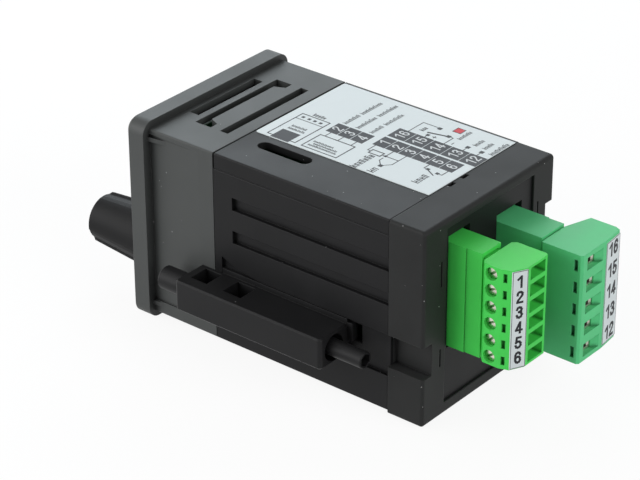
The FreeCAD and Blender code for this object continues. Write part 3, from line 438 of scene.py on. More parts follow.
surface = {
    "drift": 70.0, "bump": 0.5,
    # pale edges, partly wear and partly painted highlight: bevel radius, gain and lift of the colour
    "paleEdgeRadius": 0.25, "paleEdgeGain": 2.2, "paleEdgeLift": 0.02,
    "speckScale": 640.0, "speckSize": 0.08, "speckLift": 0.30,
    # share of the tone left, and power of the mask, for the painted shade in slots and corners
    "paintedShadeShare": 0.10, "paintedShadePower": 1.6,
}
metalSurface = {"grain": 2600.0, "drift": 260.0, "bump": 0.3, "depth": 0.01}
windowSurface = {
    "grain": 300.0, "drift": 40.0, "dark": (0.20, 0.022, 0.022), "light": (0.26, 0.030, 0.030),
    "rough": (0.05, 0.11), "transmission": 0.85, "bending": 1.49,
}


def plastic(name, tone, spreadBy, rough, specular, grain=5200.0, depth=0.012, edge=0.18,
            dust=0.0, wearAndHighlight=0.0, deep=0.0):
    # tone: mean colour; spreadBy: how far lighter and darker patches leave it; depth, edge and deep in mm;
    # the edge paling is partly wear and partly painted highlight, and deep paints shade into recesses
    finish, tree, shader = newFinish(name)
    shader.inputs["Specular IOR Level"].default_value = specular
    mould = placeGroup(tree, grainGroup, Grain=grain, Drift=surface["drift"])
    drift = spread(tree, mould.outputs["Tone"])
    dark = tuple(c * (1 - spreadBy) for c in tone)
    light = tuple(c * (1 + spreadBy) for c in tone)
    colour = blendColour(tree, drift, dark, light)
    # pale edges: partly wear, partly painted highlight along the rounded edges
    if wearAndHighlight:
        paleEdgeMask = placeGroup(tree, wearHighlightGroup, Radius=surface["paleEdgeRadius"] * mm, Amount=wearAndHighlight)
        wornAndHighlit = tuple(min(1.0, c * surface["paleEdgeGain"] + surface["paleEdgeLift"]) for c in tone)
        colour = blendColour(tree, paleEdgeMask.outputs["Mask"], colour, wornAndHighlit)
    # painted shade: the colour darkens in slots and deep corners within deep mm
    if deep:
        paintedShadeMask = placeGroup(tree, paintedShadeGroup, Reach=deep * mm, Power=surface["paintedShadePower"])
        paintedShadeColour = tuple(c * surface["paintedShadeShare"] for c in tone)
        colour = blendColour(tree, paintedShadeMask.outputs["Mask"], colour, paintedShadeColour)
    if dust:
        specks = placeGroup(tree, dustGroup, Scale=surface["speckScale"], Share=dust,
                            Size=surface["speckSize"])
        dusty = tuple(c + surface["speckLift"] for c in tone)
        colour = blendColour(tree, specks.outputs["Mask"], colour, dusty)
    tree.links.new(colour, shader.inputs["Base Color"])
    tree.links.new(spread(tree, mould.outputs["Tone"], *rough), shader.inputs["Roughness"])
    softBump(tree, shader, mould.outputs["Height"], surface["bump"], depth * mm, edge * mm)
    return finish


def metal(name, dark, light, rough, edge=0.08):
    finish, tree, shader = newFinish(name)
    shader.inputs["Metallic"].default_value = 1.0
    mould = placeGroup(tree, grainGroup, Grain=metalSurface["grain"], Drift=metalSurface["drift"])
    colour = blendColour(tree, spread(tree, mould.outputs["Tone"]), dark, light)
    tree.links.new(colour, shader.inputs["Base Color"])
    tree.links.new(spread(tree, mould.outputs["Height"], *rough), shader.inputs["Roughness"])
    softBump(tree, shader, mould.outputs["Height"], metalSurface["bump"], metalSurface["depth"] * mm,
             edge * mm)
    return finish


def smokedWindow():
    finish, tree, shader = newFinish("windowSmoke")
    shader.inputs["Transmission Weight"].default_value = windowSurface["transmission"]
    shader.inputs["IOR"].default_value = windowSurface["bending"]
    mould = placeGroup(tree, grainGroup, Grain=windowSurface["grain"], Drift=windowSurface["drift"])
    tone = spread(tree, mould.outputs["Tone"])
    colour = blendColour(tree, tone, windowSurface["dark"], windowSurface["light"])
    tree.links.new(colour, shader.inputs["Base Color"])
    tree.links.new(spread(tree, mould.outputs["Height"], *windowSurface["rough"]), shader.inputs["Roughness"])
    return finish


# the edge paling is partly wear and partly painted highlight; deep is the reach in mm of painted shade in
# slots and corners
greenShell = {"spreadBy": 0.07, "rough": (0.38, 0.48), "specular": 0.18, "depth": 0.008,
              "wearAndHighlight": 0.5, "deep": 1.0}
finishes = {
    "frame_grey": plastic("frameGrey", (0.066, 0.070, 0.069), spreadBy=0.06, rough=(0.42, 0.52),
                          specular=0.22, dust=0.03, wearAndHighlight=1.0, deep=2.4),
    "foil_dark": plastic("foilDark", (0.031, 0.033, 0.036), spreadBy=0.08, rough=(0.50, 0.58), specular=0.3,
                         grain=9000.0, depth=0.006),
    "window_smoke": smokedWindow(),
    "display_grey": plastic("displayGrey", (0.078, 0.078, 0.080), spreadBy=0.08, rough=(0.5, 0.6),
                            specular=0.3),
    "case_black": plastic("caseBlack", (0.0115, 0.0115, 0.0122), spreadBy=0.15, rough=(0.40, 0.50),
                          specular=0.14, dust=0.12, wearAndHighlight=1.0, deep=0.8),
    # the cap's tone is lighter than the case's, with low specular: painted sheen in place of reflected light
    "cap": plastic("capBlackPaintedSheen", (0.0300, 0.0306, 0.0306), spreadBy=0.12, rough=(0.42, 0.52), specular=0.08,
                   edge=0.38, dust=0.22, wearAndHighlight=0.8, deep=0.8),
    "clamp_black": plastic("clampBlack", (0.0125, 0.0125, 0.0132), spreadBy=0.15, rough=(0.38, 0.48),
                           specular=0.14, dust=0.07, wearAndHighlight=0.4, deep=0.8),
    "knob_black": plastic("knobBlack", (0.0090, 0.0090, 0.0095), spreadBy=0.15, rough=(0.46, 0.54),
                          specular=0.11, wearAndHighlight=1.0),
    "label_white": plastic("labelWhite", (0.790, 0.853, 0.865), spreadBy=0.025, rough=(0.42, 0.50),
                           specular=0.2, grain=9000.0, depth=0.004, edge=0.05),
    "terminal_green": plastic("leafGreen", (0.078, 0.75, 0.113), **greenShell),
    "terminal_sea_green": plastic("seaGreen", (0.119, 0.65, 0.263), **greenShell),
    "screw_nickel": metal("screwNickel", (0.56, 0.53, 0.46), (0.72, 0.69, 0.62), rough=(0.20, 0.36)),
    "contact_tin": metal("contactTin", (0.50, 0.47, 0.41), (0.66, 0.63, 0.56), rough=(0.28, 0.44)),
    "board_green": plastic("boardGreen", (0.021, 0.110, 0.041), spreadBy=0.2, rough=(0.28, 0.40),
                           specular=0.4),
    "component_dark": plastic("componentDark", (0.027, 0.027, 0.030), spreadBy=0.2, rough=(0.45, 0.55),
                              specular=0.3),
    "transformer_yellow": plastic("transformerTape", (0.57, 0.40, 0.06), spreadBy=0.08, rough=(0.42, 0.52),
                                  specular=0.35),
}
ink = {"rough": (0.45, 0.55), "specular": 0.2, "grain": 9000.0, "depth": 0.003, "edge": 0.0}
inkDark = plastic("inkDark", (0.025, 0.026, 0.030), spreadBy=0.2, **ink)
inkGrey = plastic("inkGrey", (0.034, 0.036, 0.042), spreadBy=0.15, **ink)
inkRed = plastic("inkRed", (0.66, 0.043, 0.058), spreadBy=0.08, **ink)
inkWhite = plastic("inkWhite", (0.70, 0.73, 0.74), spreadBy=0.03, **ink)
segmentMilk = plastic("segmentMilk", (0.36, 0.31, 0.30), spreadBy=0.06, rough=(0.40, 0.50), specular=0.3,
                      grain=9000.0, depth=0.003, edge=0.0)
lensRed = plastic("lensRed", (0.30, 0.012, 0.014), spreadBy=0.1, rough=(0.18, 0.26), specular=0.5,
                  grain=2000.0, depth=0.002, edge=0.05)
contactGold = metal("contactGold", (0.72, 0.50, 0.20), (0.82, 0.60, 0.28), rough=(0.22, 0.36), edge=0.03)

nodeFinish = {
    "frame_grey": ["front_bezel"],
    "foil_dark": ["front_foil"],
    "window_smoke": ["display_window"],
    "display_grey": ["led_display"],
    "case_black": ["lower_shell", "top_lid", "rear_plate"],
    "cap": ["rear_cap"],
    "clamp_black": ["clamp_bracket_right", "clamp_foot_right", "clamp_screw_right",
                    "clamp_bracket_left", "clamp_foot_left", "clamp_screw_left"],
    "knob_black": ["knob"],
    "label_white": ["wiring_label", "number_strip_left", "number_strip_right"],
    "terminal_green": ["header_left", "plug_left"],
    "terminal_sea_green": ["header_right", "plug_right"],
    "screw_nickel": ["plug_left_screws", "plug_right_screws", "encoder_nut", "encoder_shaft"],
    "contact_tin": ["header_left_pins", "header_right_pins", "plug_left_clamps", "plug_right_clamps",
                    "front_links", "rear_links"],
    "board_green": ["display_board", "terminal_board", "logic_board", "power_board"],
    "component_dark": ["encoder_body", "control_chip", "output_relay", "main_capacitor"],
    "transformer_yellow": ["transformer"],
}
for slotName, members in nodeFinish.items():
    for member in members:
        for place in nodes[member].material_slots:
            place.material = finishes[slotName]
bare = sorted(set(nodes).difference(*nodeFinish.values()))
print("finishes on nodes, left without one:", bare)


# flat print: strokes and blocks on a page, seated on a face afterwards

printFilm = 0.02 * mm
printSunk = 0.005 * mm      # how deep the print sits in its face
printLevels, printStep = 24, 0.0005 * mm        # crossing strokes lie on each other
digitSize = {"wide": 0.56, "gap": 0.07}         # of a digit's height
digitLines = {
    "1": [[(0.11, 0.72), (0.34, 0.91)], [(0.37, 0.075), (0.37, 0.925)]],
    "2": [[(0.09, 0.70), (0.11, 0.82), (0.18, 0.90), (0.28, 0.925), (0.39, 0.90), (0.47, 0.81), (0.47, 0.69),
           (0.41, 0.57), (0.28, 0.41), (0.14, 0.24), (0.09, 0.10)], [(0.09, 0.075), (0.48, 0.075)]],
    "3": [[(0.09, 0.76), (0.15, 0.88), (0.27, 0.925), (0.39, 0.88), (0.45, 0.76), (0.41, 0.62),
           (0.26, 0.54)],
          [(0.26, 0.54), (0.41, 0.48), (0.48, 0.31), (0.41, 0.14), (0.27, 0.075), (0.14, 0.12),
           (0.08, 0.25)]],
    "4": [[(0.38, 0.075), (0.38, 0.925)], [(0.35, 0.90), (0.09, 0.36)], [(0.06, 0.29), (0.51, 0.29)]],
    "5": [[(0.46, 0.925), (0.16, 0.925)], [(0.15, 0.90), (0.11, 0.51)],
          [(0.11, 0.51), (0.24, 0.59), (0.37, 0.56), (0.47, 0.44), (0.47, 0.26), (0.38, 0.12), (0.26, 0.075),
           (0.14, 0.12), (0.08, 0.25)]],
    "6": [[(0.46, 0.77), (0.40, 0.88), (0.29, 0.925), (0.18, 0.87), (0.10, 0.72), (0.08, 0.46), (0.10, 0.25),
           (0.17, 0.12), (0.28, 0.075), (0.40, 0.12), (0.47, 0.25), (0.46, 0.42), (0.39, 0.53), (0.29, 0.56),
           (0.18, 0.52), (0.10, 0.41)]],
}


def flatBars(name, bars, scale=(1.0, 1.0)):
    # bars: (x0, y0, x1, y1, width) strokes or (x0, y0, x1, y1) blocks, in mm after scaling
    deselectAll()
    bpy.ops.mesh.primitive_plane_add(size=mm)
    piece = bpy.context.object
    bpy.ops.object.mode_set(mode="EDIT")
    bpy.ops.mesh.select_all(action="SELECT")
    bpy.ops.mesh.delete(type="VERT")
    for place, bar in enumerate(bars):
        start = Vector((bar[0] * scale[0], bar[1] * scale[1], 0))
        end = Vector((bar[2] * scale[0], bar[3] * scale[1], 0))
        spot = (start + end) / 2 * mm
        spot.z = place % printLevels * printStep
        if len(bar) == 5:
            wide = bar[4] * abs(scale[0])
            span = (end - start).length + wide
            turn = math.atan2(end.y - start.y, end.x - start.x)
        else:
            span, wide, turn = abs(end.x - start.x), abs(end.y - start.y), 0.0
        bpy.ops.mesh.select_all(action="DESELECT")
        bpy.ops.mesh.primitive_plane_add(size=mm, location=spot)
        bpy.ops.transform.resize(value=(span, wide, 1.0), center_override=spot)
        if turn:
            bpy.ops.transform.rotate(value=-turn, orient_axis="Z", center_override=spot)
    bpy.ops.mesh.select_all(action="SELECT")
    bpy.ops.mesh.normals_make_consistent(inside=False)
    bpy.ops.mesh.extrude_region_move(TRANSFORM_OT_translate={"value": (0, 0, printFilm)})
    bpy.ops.mesh.select_all(action="SELECT")
    bpy.ops.mesh.normals_make_consistent(inside=False)
    bpy.ops.object.mode_set(mode="OBJECT")
    piece.name = name
    piece.data.name = name
    return piece


def frameBars(x0, y0, x1, y1, wide):
    return [(x0, y0, x1, y0, wide), (x0, y1, x1, y1, wide), (x0, y0, x0, y1, wide), (x1, y0, x1, y1, wide)]


def numberBars(text, x, y, tall, stroke, up=1):
    # the strokes of a number centred on x, y; up is -1 on a page whose y runs down
    wide, gap = digitSize["wide"] * tall, digitSize["gap"] * tall
    left = x - (len(text) * (wide + gap) - gap) / 2
    bars = []
    for sign in text:
        for line in digitLines[sign]:
            spots = [(left + a * tall, y + up * (b - 0.5) * tall) for a, b in line]
            bars += [a + b + (stroke * tall,) for a, b in zip(spots, spots[1:])]
        left += wide + gap
    return bars


# print on the wiring label: page right is -X, page down is +Y, 30 page units to a millimetre

labelPrint = {
    "corner": (10.0, 18.0),
    "scale": (1 / 30, -1 / 30),
    "digit": 80,
    "digitStroke": 0.125,           # of a digit's height
    "letterPitch": 0.66, "letterStroke": 0.15, "letterBar": 0.62, "letterTop": 0.28,    # of a word's height
    "letterGap": 1.4,               # of a letter's stroke
    "letterDrops": (0.0, 0.28, 0.28, 0.10, 0.28, 0.0, 0.28),
    "words": [
        (190, 150, 212, 285), (228, 150, 250, 270), (430, 160, 462, 262),
        (88, 400, 106, 625), (116, 420, 134, 610), (144, 400, 162, 560),
        (465, 380, 620, 410), (640, 380, 850, 410), (465, 484, 660, 514), (685, 484, 880, 514),
        (465, 594, 590, 624), (612, 594, 800, 624),
        (26, 784, 234, 832), (42, 910, 112, 957), (100, 1212, 228, 1260),
        (692, 822, 750, 854), (742, 1084, 875, 1112), (732, 1214, 830, 1244), (732, 1286, 830, 1316),
        (692, 1364, 885, 1396),
    ],
    "columns": [
        {"rows": (362, 458, 560, 662), "sides": (312, 446), "texts": ("2", "3", "4")},
        {"rows": (710, 812, 915, 1018, 1128, 1235, 1340), "sides": (350, 483),
         "texts": ("1", "2", "3", "4", "5", "6")},
        {"rows": (710, 847, 988, 1130, 1270, 1405), "sides": (503, 637),
         "texts": ("16", "15", "14", "13", "12")},
    ],
    "rowGap": 5,
    "deviceBlock": (35, 137, 165, 282),
    "redSquare": (815, 1003, 869, 1057),
    "strokes": {"thin": 6, "line": 8, "blade": 14},
    "dots": {"joint": 20, "pin": 22, "contact": 24, "end": 30},
}
labelSigns = [
    # device front with its row of pins, then the box with its leads
    ("lineFrame", [(60, 95, 412, 322)]),
    ("thin", [(338, 95, 338, 322)]),
    ("pin", [(373, 132), (373, 182), (373, 228), (373, 275)]),
    ("lineFrame", [(58, 375, 250, 655)]),
    ("thin", [(250, 410, 312, 410), (250, 513, 312, 513), (250, 620, 312, 620)]),
    # resistance sensor and thermocouple
    ("lineFrame", [(245, 765, 293, 855)]),
    ("thin", [(269, 740, 269, 765), (269, 740, 350, 740), (269, 855, 269, 985), (269, 883, 350, 883),
              (269, 985, 350, 985)]),
    ("joint", [(269, 883)]),
    ("thin", [(150, 937, 205, 885), (150, 937, 205, 985), (205, 885, 240, 885), (205, 985, 269, 985)]),
    ("end", [(150, 937)]),
    # contact at the left row
    ("thin", [(295, 1165, 350, 1165), (295, 1165, 295, 1195)]),
    ("contact", [(295, 1195)]),
    ("line", [(290, 1195, 250, 1268)]),
    ("contact", [(285, 1275)]),
    ("thin", [(285, 1275, 285, 1310), (285, 1310, 350, 1310)]),
    # changeover contact and supply at the right row
    ("thin", [(637, 780, 795, 780), (795, 780, 795, 915)]),
    ("end", [(790, 915)]),
    ("thin", [(637, 910, 670, 910)]),
    ("contact", [(670, 910)]),
    ("blade", [(700, 890, 735, 1030)]),
    ("thin", [(637, 1062, 735, 1062), (735, 1025, 735, 1062)]),
    ("end", [(735, 1025)]),
    ("thin", [(658, 962, 682, 962), (670, 950, 670, 974), (660, 1105, 684, 1105), (637, 1210, 690, 1210)]),
    ("end", [(690, 1210)]),
    ("thin", [(637, 1318, 690, 1318)]),
    ("end", [(690, 1318)]),
    # edge of the red square
    ("thinFrame", [(812, 1000, 872, 1060)]),
]


def signBars(kind, places):
    if kind in labelPrint["dots"]:
        half = labelPrint["dots"][kind] / 2
        return [(x - half, y - half, x + half, y + half) for x, y in places]
    wide = labelPrint["strokes"][kind.removesuffix("Frame")]
    if kind.endswith("Frame"):
        return [bar for corners in places for bar in frameBars(*corners, wide)]
    return [ends + (wide,) for ends in places]


def wordStrokes(x0, y0, x1, y1):
    # a word as a row of letter-like strokes that spell nothing
    flat = x1 - x0 >= y1 - y0
    long, tall = (x1 - x0, y1 - y0) if flat else (y1 - y0, x1 - x0)
    count = max(2, round(long / (tall * labelPrint["letterPitch"])))
    step, wide = long / count, tall * labelPrint["letterStroke"]
    strokes = []
    for place in range(count):
        first, last = place * step + wide, (place + 1) * step - wide * labelPrint["letterGap"]
        drop = tall * labelPrint["letterDrops"][place % len(labelPrint["letterDrops"])]
        bar = drop if place % 2 else tall * labelPrint["letterBar"]
        head = max(drop, tall * labelPrint["letterTop"])
        for a, b, c, d in ((first, drop, first, tall), (first, bar, last, bar), (last, head, last, tall)):
            if flat:
                strokes.append((x0 + a, y0 + b, x0 + c, y0 + d, wide))
            else:
                strokes.append((x1 - b, y0 + a, x1 - d, y0 + c, wide))
    return strokes


def labelDrawing():
    bars = []
    for kind, places in labelSigns:
        bars += signBars(kind, places)
    for word in labelPrint["words"]:
        bars += wordStrokes(*word)
    return bars


def printLabel():
    gap, corner = labelPrint["rowGap"], labelPrint["corner"]
    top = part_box("wiring_label")[1].z
    blocks, numbers = [labelPrint["deviceBlock"]], []
    for column in labelPrint["columns"]:
        left, right = column["sides"]
        for text, head, foot in zip(column["texts"], column["rows"], column["rows"][1:]):
            blocks.append((left, head + gap / 2, right, foot - gap / 2))
            numbers += numberBars(text, (left + right) / 2, (head + foot) / 2,
                                  labelPrint["digit"], labelPrint["digitStroke"], -1)
    layers = [
        ("labelSigns", labelDrawing(), inkDark, "foil_dark", 0.0),
        ("labelBlocks", blocks, inkGrey, "foil_dark", 0.0),
        ("labelRedSquare", [labelPrint["redSquare"]], inkRed, "foil_dark", 0.0),
        ("labelNumbers", numbers, inkWhite, "label_white", printFilm / 2),
    ]
    for name, bars, film, slot, lift in layers:
        piece = flatBars(name, bars, labelPrint["scale"])
        seat(piece, (corner[0] * mm, corner[1] * mm, top - printSunk + lift), (0, 0, 1), (0, -1, 0))
        dress(piece, film, "case")


printLabel()
print("label printed")


# numbers on the slanted marker strips of the two plugs

strips = {
    "left": {"node": "number_strip_left", "body": "left_plug", "hand": 1, "tall": 2.75, "pitch": 3.5,
             "texts": ("1", "2", "3", "4", "5", "6")},
    "right": {"node": "number_strip_right", "body": "right_plug", "hand": -1, "tall": 3.2, "pitch": 4.9,
              "texts": ("16", "15", "14", "13", "12")},
    "lip": 0.2, "rim": 0.11, "line": 0.13, "lineSunk": 0.012,
    "stroke": 0.18,     # of a digit's height
}


def numberStrip(name):
    strip = strips[name]
    low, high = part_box(strip["node"])
    inner, outer = (low.x, high.x) if strip["hand"] > 0 else (high.x, low.x)
    start = Vector((inner, high.y, (low.z + high.z) / 2))
    end = Vector((outer, low.y + strips["lip"] * mm, start.z))
    along = (end - start).normalized()
    out = Vector((-along.y, along.x, 0)) * strip["hand"]
    wide = (end - start).length / mm / 2 - strips["rim"]
    tall = (high.z - low.z) / mm / 2 - strips["rim"]
    numbers = []
    for row, text in enumerate(strip["texts"]):
        height = strip["pitch"] * ((len(strip["texts"]) - 1) / 2 - row)
        numbers += numberBars(text, 0, height, strip["tall"], strips["stroke"])
    # a thin grey frame line drawn round the edge of each strip
    outline = frameBars(-wide, -tall, wide, tall, strips["line"])
    for part, bars, film, sunk in (("Numbers", numbers, inkDark, 0.0),
                                   ("Outline", outline, inkGrey, strips["lineSunk"] * mm)):
        piece = flatBars(name + "Strip" + part, bars)
        seat(piece, (start + end) / 2 - out * (printSunk + sunk), out)
        dress(piece, film, strip["body"])


numberStrip("left")
numberStrip("right")
print("strips numbered")


# threaded jacking screws of the clamps

jackScrew = {
    "pitch": 0.7, "root": 1.46, "crest": 1.88,
    "shares": (0.14, 0.36, 0.14, 0.36),     # of a pitch: root, flank, crest, flank
    "steps": 24, "leadIn": 1.5, "spareTurns": 3, "seamReach": 0.001, "smooth": 32,
    "plain": 9.5, "overlap": 0.3, "sides": 32, "chamfer": 0.18,
    "socketSides": 6, "socketFlats": 2.6, "socketDeep": 1.8,
}


def threadedRod(long):
    # one pitch of the profile, swept round Y, then cut flat at both ends
    pitch, deep = jackScrew["pitch"] * mm, (jackScrew["crest"] - jackScrew["root"]) * mm
    deselectAll()
    bpy.ops.mesh.primitive_plane_add(
        size=mm, location=(jackScrew["root"] * mm, -jackScrew["leadIn"] * pitch, 0))
    rod = bpy.context.object
    applyPlace(rod)
    bpy.ops.object.mode_set(mode="EDIT")
    bpy.ops.mesh.select_all(action="SELECT")
    bpy.ops.mesh.merge(type="CENTER")
    for out, share in zip((0, deep, 0, -deep), jackScrew["shares"]):
        bpy.ops.mesh.extrude_region_move(TRANSFORM_OT_translate={"value": (out, share * pitch, 0)})
    bpy.ops.object.mode_set(mode="OBJECT")
    sweep = rod.modifiers.new("sweep", "SCREW")
    sweep.axis = "Y"
    sweep.steps = sweep.render_steps = jackScrew["steps"]
    sweep.screw_offset = pitch
    sweep.iterations = int(long / pitch) + jackScrew["spareTurns"]
    sweep.use_merge_vertices = True
    sweep.merge_threshold = jackScrew["seamReach"] * mm
    bpy.ops.object.modifier_apply(modifier=sweep.name)
    closeUp(rod)
    bpy.ops.object.mode_set(mode="EDIT")
    for height, keepAbove in ((0.0, True), (long, False)):
        bpy.ops.mesh.select_all(action="SELECT")
        bpy.ops.mesh.bisect(plane_co=(0, height, 0), plane_no=(0, 1, 0), use_fill=True,
                            clear_inner=keepAbove, clear_outer=not keepAbove)
    bpy.ops.object.mode_set(mode="OBJECT")
    closeUp(rod)
    return rod


def plainEnd(start, end, radius):
    # smooth rear end with a chamfer and a hexagon socket
    deselectAll()
    bpy.ops.mesh.primitive_cylinder_add(vertices=jackScrew["sides"], radius=radius, depth=end - start,
                                        location=(0, (start + end) / 2, 0), rotation=(math.pi / 2, 0, 0))
    tip = bpy.context.object
    applyPlace(tip)
    markFaces(tip, lambda face: face.normal.y > squareOn)
    bpy.ops.mesh.bevel(offset=jackScrew["chamfer"] * mm, segments=1, affect="EDGES")
    bpy.ops.object.mode_set(mode="OBJECT")
    corner = jackScrew["socketFlats"] * mm / math.sqrt(3)
    bpy.ops.mesh.primitive_cylinder_add(
        vertices=jackScrew["socketSides"], radius=corner, depth=2 * jackScrew["socketDeep"] * mm,
        location=(0, end, 0), rotation=(math.pi / 2, 0, 0))     # half of it stands out of the end
    key = bpy.context.object
    applyPlace(key)
    cutWith(tip, key)
    closeUp(tip)
    return tip


def makeJackScrews():
    low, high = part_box("clamp_screw_right")
    long, radius = high.y - low.y, (high.x - low.x) / 2
    threadEnd = long - jackScrew["plain"] * mm
    rod = threadedRod(threadEnd + jackScrew["overlap"] * mm)
    first = joinAll([rod, plainEnd(threadEnd, long, radius)], "rightJackScrew")
    bpy.ops.object.shade_smooth_by_angle(angle=math.radians(jackScrew["smooth"]))
    second = copyOf(first)
    for hand, screw in (("right", first), ("left", second)):
        node = "clamp_screw_" + hand
        low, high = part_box(node)
        screw.name = screw.data.name = hand + "JackScrew"
        screw.location = ((low.x + high.x) / 2, low.y, (low.z + high.z) / 2)
        applyPlace(screw)
        dress(screw, finishes["clamp_black"], hand + "_screw")
        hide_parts(node)


makeJackScrews()
print("jacking screws threaded")


# slotted screws of the terminals, each left at its own turn

terminalScrew = {
    "sides": 28, "headLong": 1.5, "rim": 0.14, "rimSteps": 2, "shankShare": 0.62, "smooth": 32,
    "slotWide": 0.5, "slotDeep": 0.7, "slotOver": 3,        # slotOver: the cutter's length over the radius
    "turns": (34, 47, 28, 41, 22, 38),
    "left": {"node": "plug_left_screws", "body": "left_plug", "hand": 1, "poles": 6},
    "right": {"node": "plug_right_screws", "body": "right_plug", "hand": -1, "poles": 5},
}


def slottedScrew(radius, long):
    # head up along Z, its top at the origin
    head = terminalScrew["headLong"] * mm
    deselectAll()
    bpy.ops.mesh.primitive_cylinder_add(vertices=terminalScrew["sides"], radius=radius, depth=head,
                                        location=(0, 0, -head / 2))
    screw = bpy.context.object
    applyPlace(screw)
    markFaces(screw, lambda face: face.normal.z > squareOn)
    bpy.ops.mesh.bevel(offset=terminalScrew["rim"] * mm, segments=terminalScrew["rimSteps"], affect="EDGES")
    markFaces(screw, lambda face: face.normal.z < -squareOn)
    bpy.ops.mesh.inset(thickness=radius * (1 - terminalScrew["shankShare"]))
    bpy.ops.mesh.extrude_region_move(TRANSFORM_OT_translate={"value": (0, 0, head - long)})
    bpy.ops.object.mode_set(mode="OBJECT")
    bpy.ops.mesh.primitive_cube_add(size=1.0)
    blade = bpy.context.object
    blade.scale = (terminalScrew["slotOver"] * radius, terminalScrew["slotWide"] * mm,
                   2 * terminalScrew["slotDeep"] * mm)
    applyPlace(blade)
    cutWith(screw, blade)
    closeUp(screw)
    bpy.ops.object.shade_smooth_by_angle(angle=math.radians(terminalScrew["smooth"]))
    return screw


def makeTerminalScrews(name):
    row = terminalScrew[name]
    low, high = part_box(row["node"])
    radius = (high.y - low.y) / 2
    step = (high.z - low.z - 2 * radius) / (row["poles"] - 1)
    top = high.x if row["hand"] > 0 else low.x
    model = slottedScrew(radius, high.x - low.x)
    made = [model] + [copyOf(model) for _ in range(row["poles"] - 1)]
    for place, screw in enumerate(made):
        screw.rotation_euler = (0, 0, math.radians(terminalScrew["turns"][place]))
        applyPlace(screw)
        seat(screw, (top, (low.y + high.y) / 2, low.z + radius + step * place), (row["hand"], 0, 0))
    screws = joinAll(made, name + "TerminalScrews")
    dress(screws, finishes["screw_nickel"], row["body"])
    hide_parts(row["node"])


makeTerminalScrews("left")
makeTerminalScrews("right")
print("terminal screws placed")


# front: unlit display segments, print on the foil, two indicator lenses

frontFace = {
    "digits": 4, "digitPitch": 7.4, "digitTall": 8.6, "digitWide": 4.6,
    "segment": 0.85, "segmentGap": 0.12, "point": 0.9,
    "windowHalf": (17.0, 6.0), "windowHeight": 10.5, "windowLine": 0.3, "windowGap": 0.7,
    "lensRadius": 1.0, "lensTall": 0.3, "lensSides": 24, "lensRound": 0.8, "lensSteps": 3, "lensSmooth": 50,
    "lenses": ((-16.5, -6.0), (-16.5, -12.0)),
    "words": ((-13.5, -6.7, -5.5, -5.3), (-13.5, -12.7, -7.0, -11.3)),
    "wordLines": 3,         # a word's height over the stroke that stands for it
    "arrows": ((2.6, -7.2, 1), (2.6, -13.8, -1)), "arrowHalf": 1.1, "arrowFoot": 0.6,
}


def segmentBars(x):
    tall, wide, thick = frontFace["digitTall"] / 2, frontFace["digitWide"] / 2, frontFace["segment"]
    cut = thick / 2 + frontFace["segmentGap"]
    bars = [(x - wide + cut, y - thick / 2, x + wide - cut, y + thick / 2) for y in (-tall, 0, tall)]
    for side in (-wide, wide):
        for foot in (-tall, 0):
            bars.append((x + side - thick / 2, foot + cut, x + side + thick / 2, foot + tall - cut))
    point = frontFace["point"] / 2
    right = x + wide + thick + point
    return bars + [(right - point, -tall - point, right + point, -tall + point)]


def arrowBars(x, y, way):
    # a triangle of three strokes
    half = frontFace["arrowHalf"]
    foot = y - way * half * frontFace["arrowFoot"]
    corners = [(x - half, foot), (x + half, foot), (x, y + way * half)]
    return [corners[a] + corners[b] + (frontFace["windowLine"],) for a, b in ((0, 1), (1, 2), (2, 0))]


def makeSegments():
    low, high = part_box("led_display")
    count = frontFace["digits"]
    bars = []
    for place in range(count):
        bars += segmentBars((place - (count - 1) / 2) * frontFace["digitPitch"])
    piece = flatBars("displaySegments", bars)
    seat(piece, (0, low.y + printSunk, (low.z + high.z) / 2), (0, -1, 0))
    dress(piece, segmentMilk, "case")


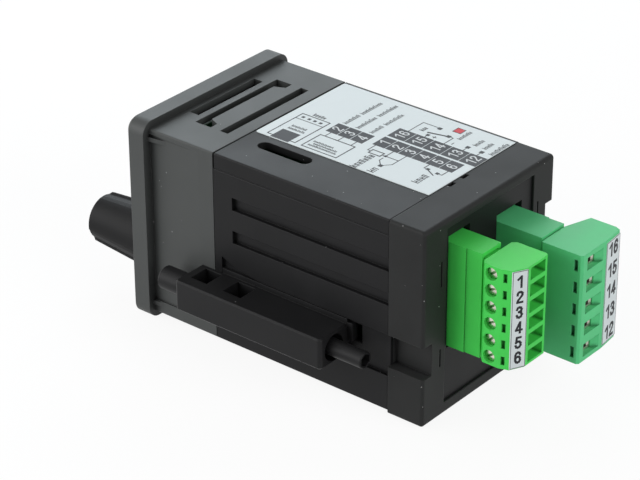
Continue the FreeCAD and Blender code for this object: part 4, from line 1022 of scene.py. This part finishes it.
def printFoil():
    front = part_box("front_foil")[0].y
    wide, tall = (half + frontFace["windowGap"] for half in frontFace["windowHalf"])
    height = frontFace["windowHeight"]
    bars = frameBars(-wide, height - tall, wide, height + tall, frontFace["windowLine"])
    for arrow in frontFace["arrows"]:
        bars += arrowBars(*arrow)
    for x0, y0, x1, y1 in frontFace["words"]:
        bars.append((x0, (y0 + y1) / 2, x1, (y0 + y1) / 2, (y1 - y0) / frontFace["wordLines"]))
    piece = flatBars("foilPrint", bars)
    seat(piece, (0, front + printSunk, 0), (0, -1, 0))
    dress(piece, inkWhite, "case")


def makeLenses():
    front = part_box("front_foil")[0].y
    tall = frontFace["lensTall"] * mm
    deselectAll()
    bpy.ops.mesh.primitive_cylinder_add(vertices=frontFace["lensSides"], radius=frontFace["lensRadius"] * mm,
                                        depth=tall, location=(0, 0, 0))
    lens = bpy.context.object
    markFaces(lens, lambda face: face.normal.z > squareOn)
    bpy.ops.mesh.bevel(offset=tall * frontFace["lensRound"], segments=frontFace["lensSteps"], affect="EDGES")
    bpy.ops.object.mode_set(mode="OBJECT")
    closeUp(lens)
    bpy.ops.object.shade_smooth_by_angle(angle=math.radians(frontFace["lensSmooth"]))
    made = [lens] + [copyOf(lens) for _ in frontFace["lenses"][1:]]
    for piece, (x, z) in zip(made, frontFace["lenses"]):
        seat(piece, (x * mm, front, z * mm), (0, -1, 0))
    dress(joinAll(made, "indicatorLenses"), lensRed, "case")


makeSegments()
printFoil()
makeLenses()
print("front drawn")


# gold contacts on the card edge in the service port

cardEdge = {"count": 8, "pitch": 1.45, "wide": 0.95, "tall": 2.4, "top": 0.15, "middle": 29.95}


def makeContacts():
    low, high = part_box("logic_board")
    half, count = cardEdge["wide"] / 2, cardEdge["count"]
    bars = []
    for place in range(count):
        along = (place - (count - 1) / 2) * cardEdge["pitch"]
        bars.append((along - half, -cardEdge["top"] - cardEdge["tall"], along + half, -cardEdge["top"]))
    made = [flatBars("cardContacts", bars)]
    made.append(copyOf(made[0]))
    for piece, x, out in zip(made, (high.x, low.x), (1, -1)):
        seat(piece, (x - out * printSunk, cardEdge["middle"] * mm, high.z), (out, 0, 0))
    dress(joinAll(made, "cardContacts"), contactGold, "case")


makeContacts()
print("contacts laid")
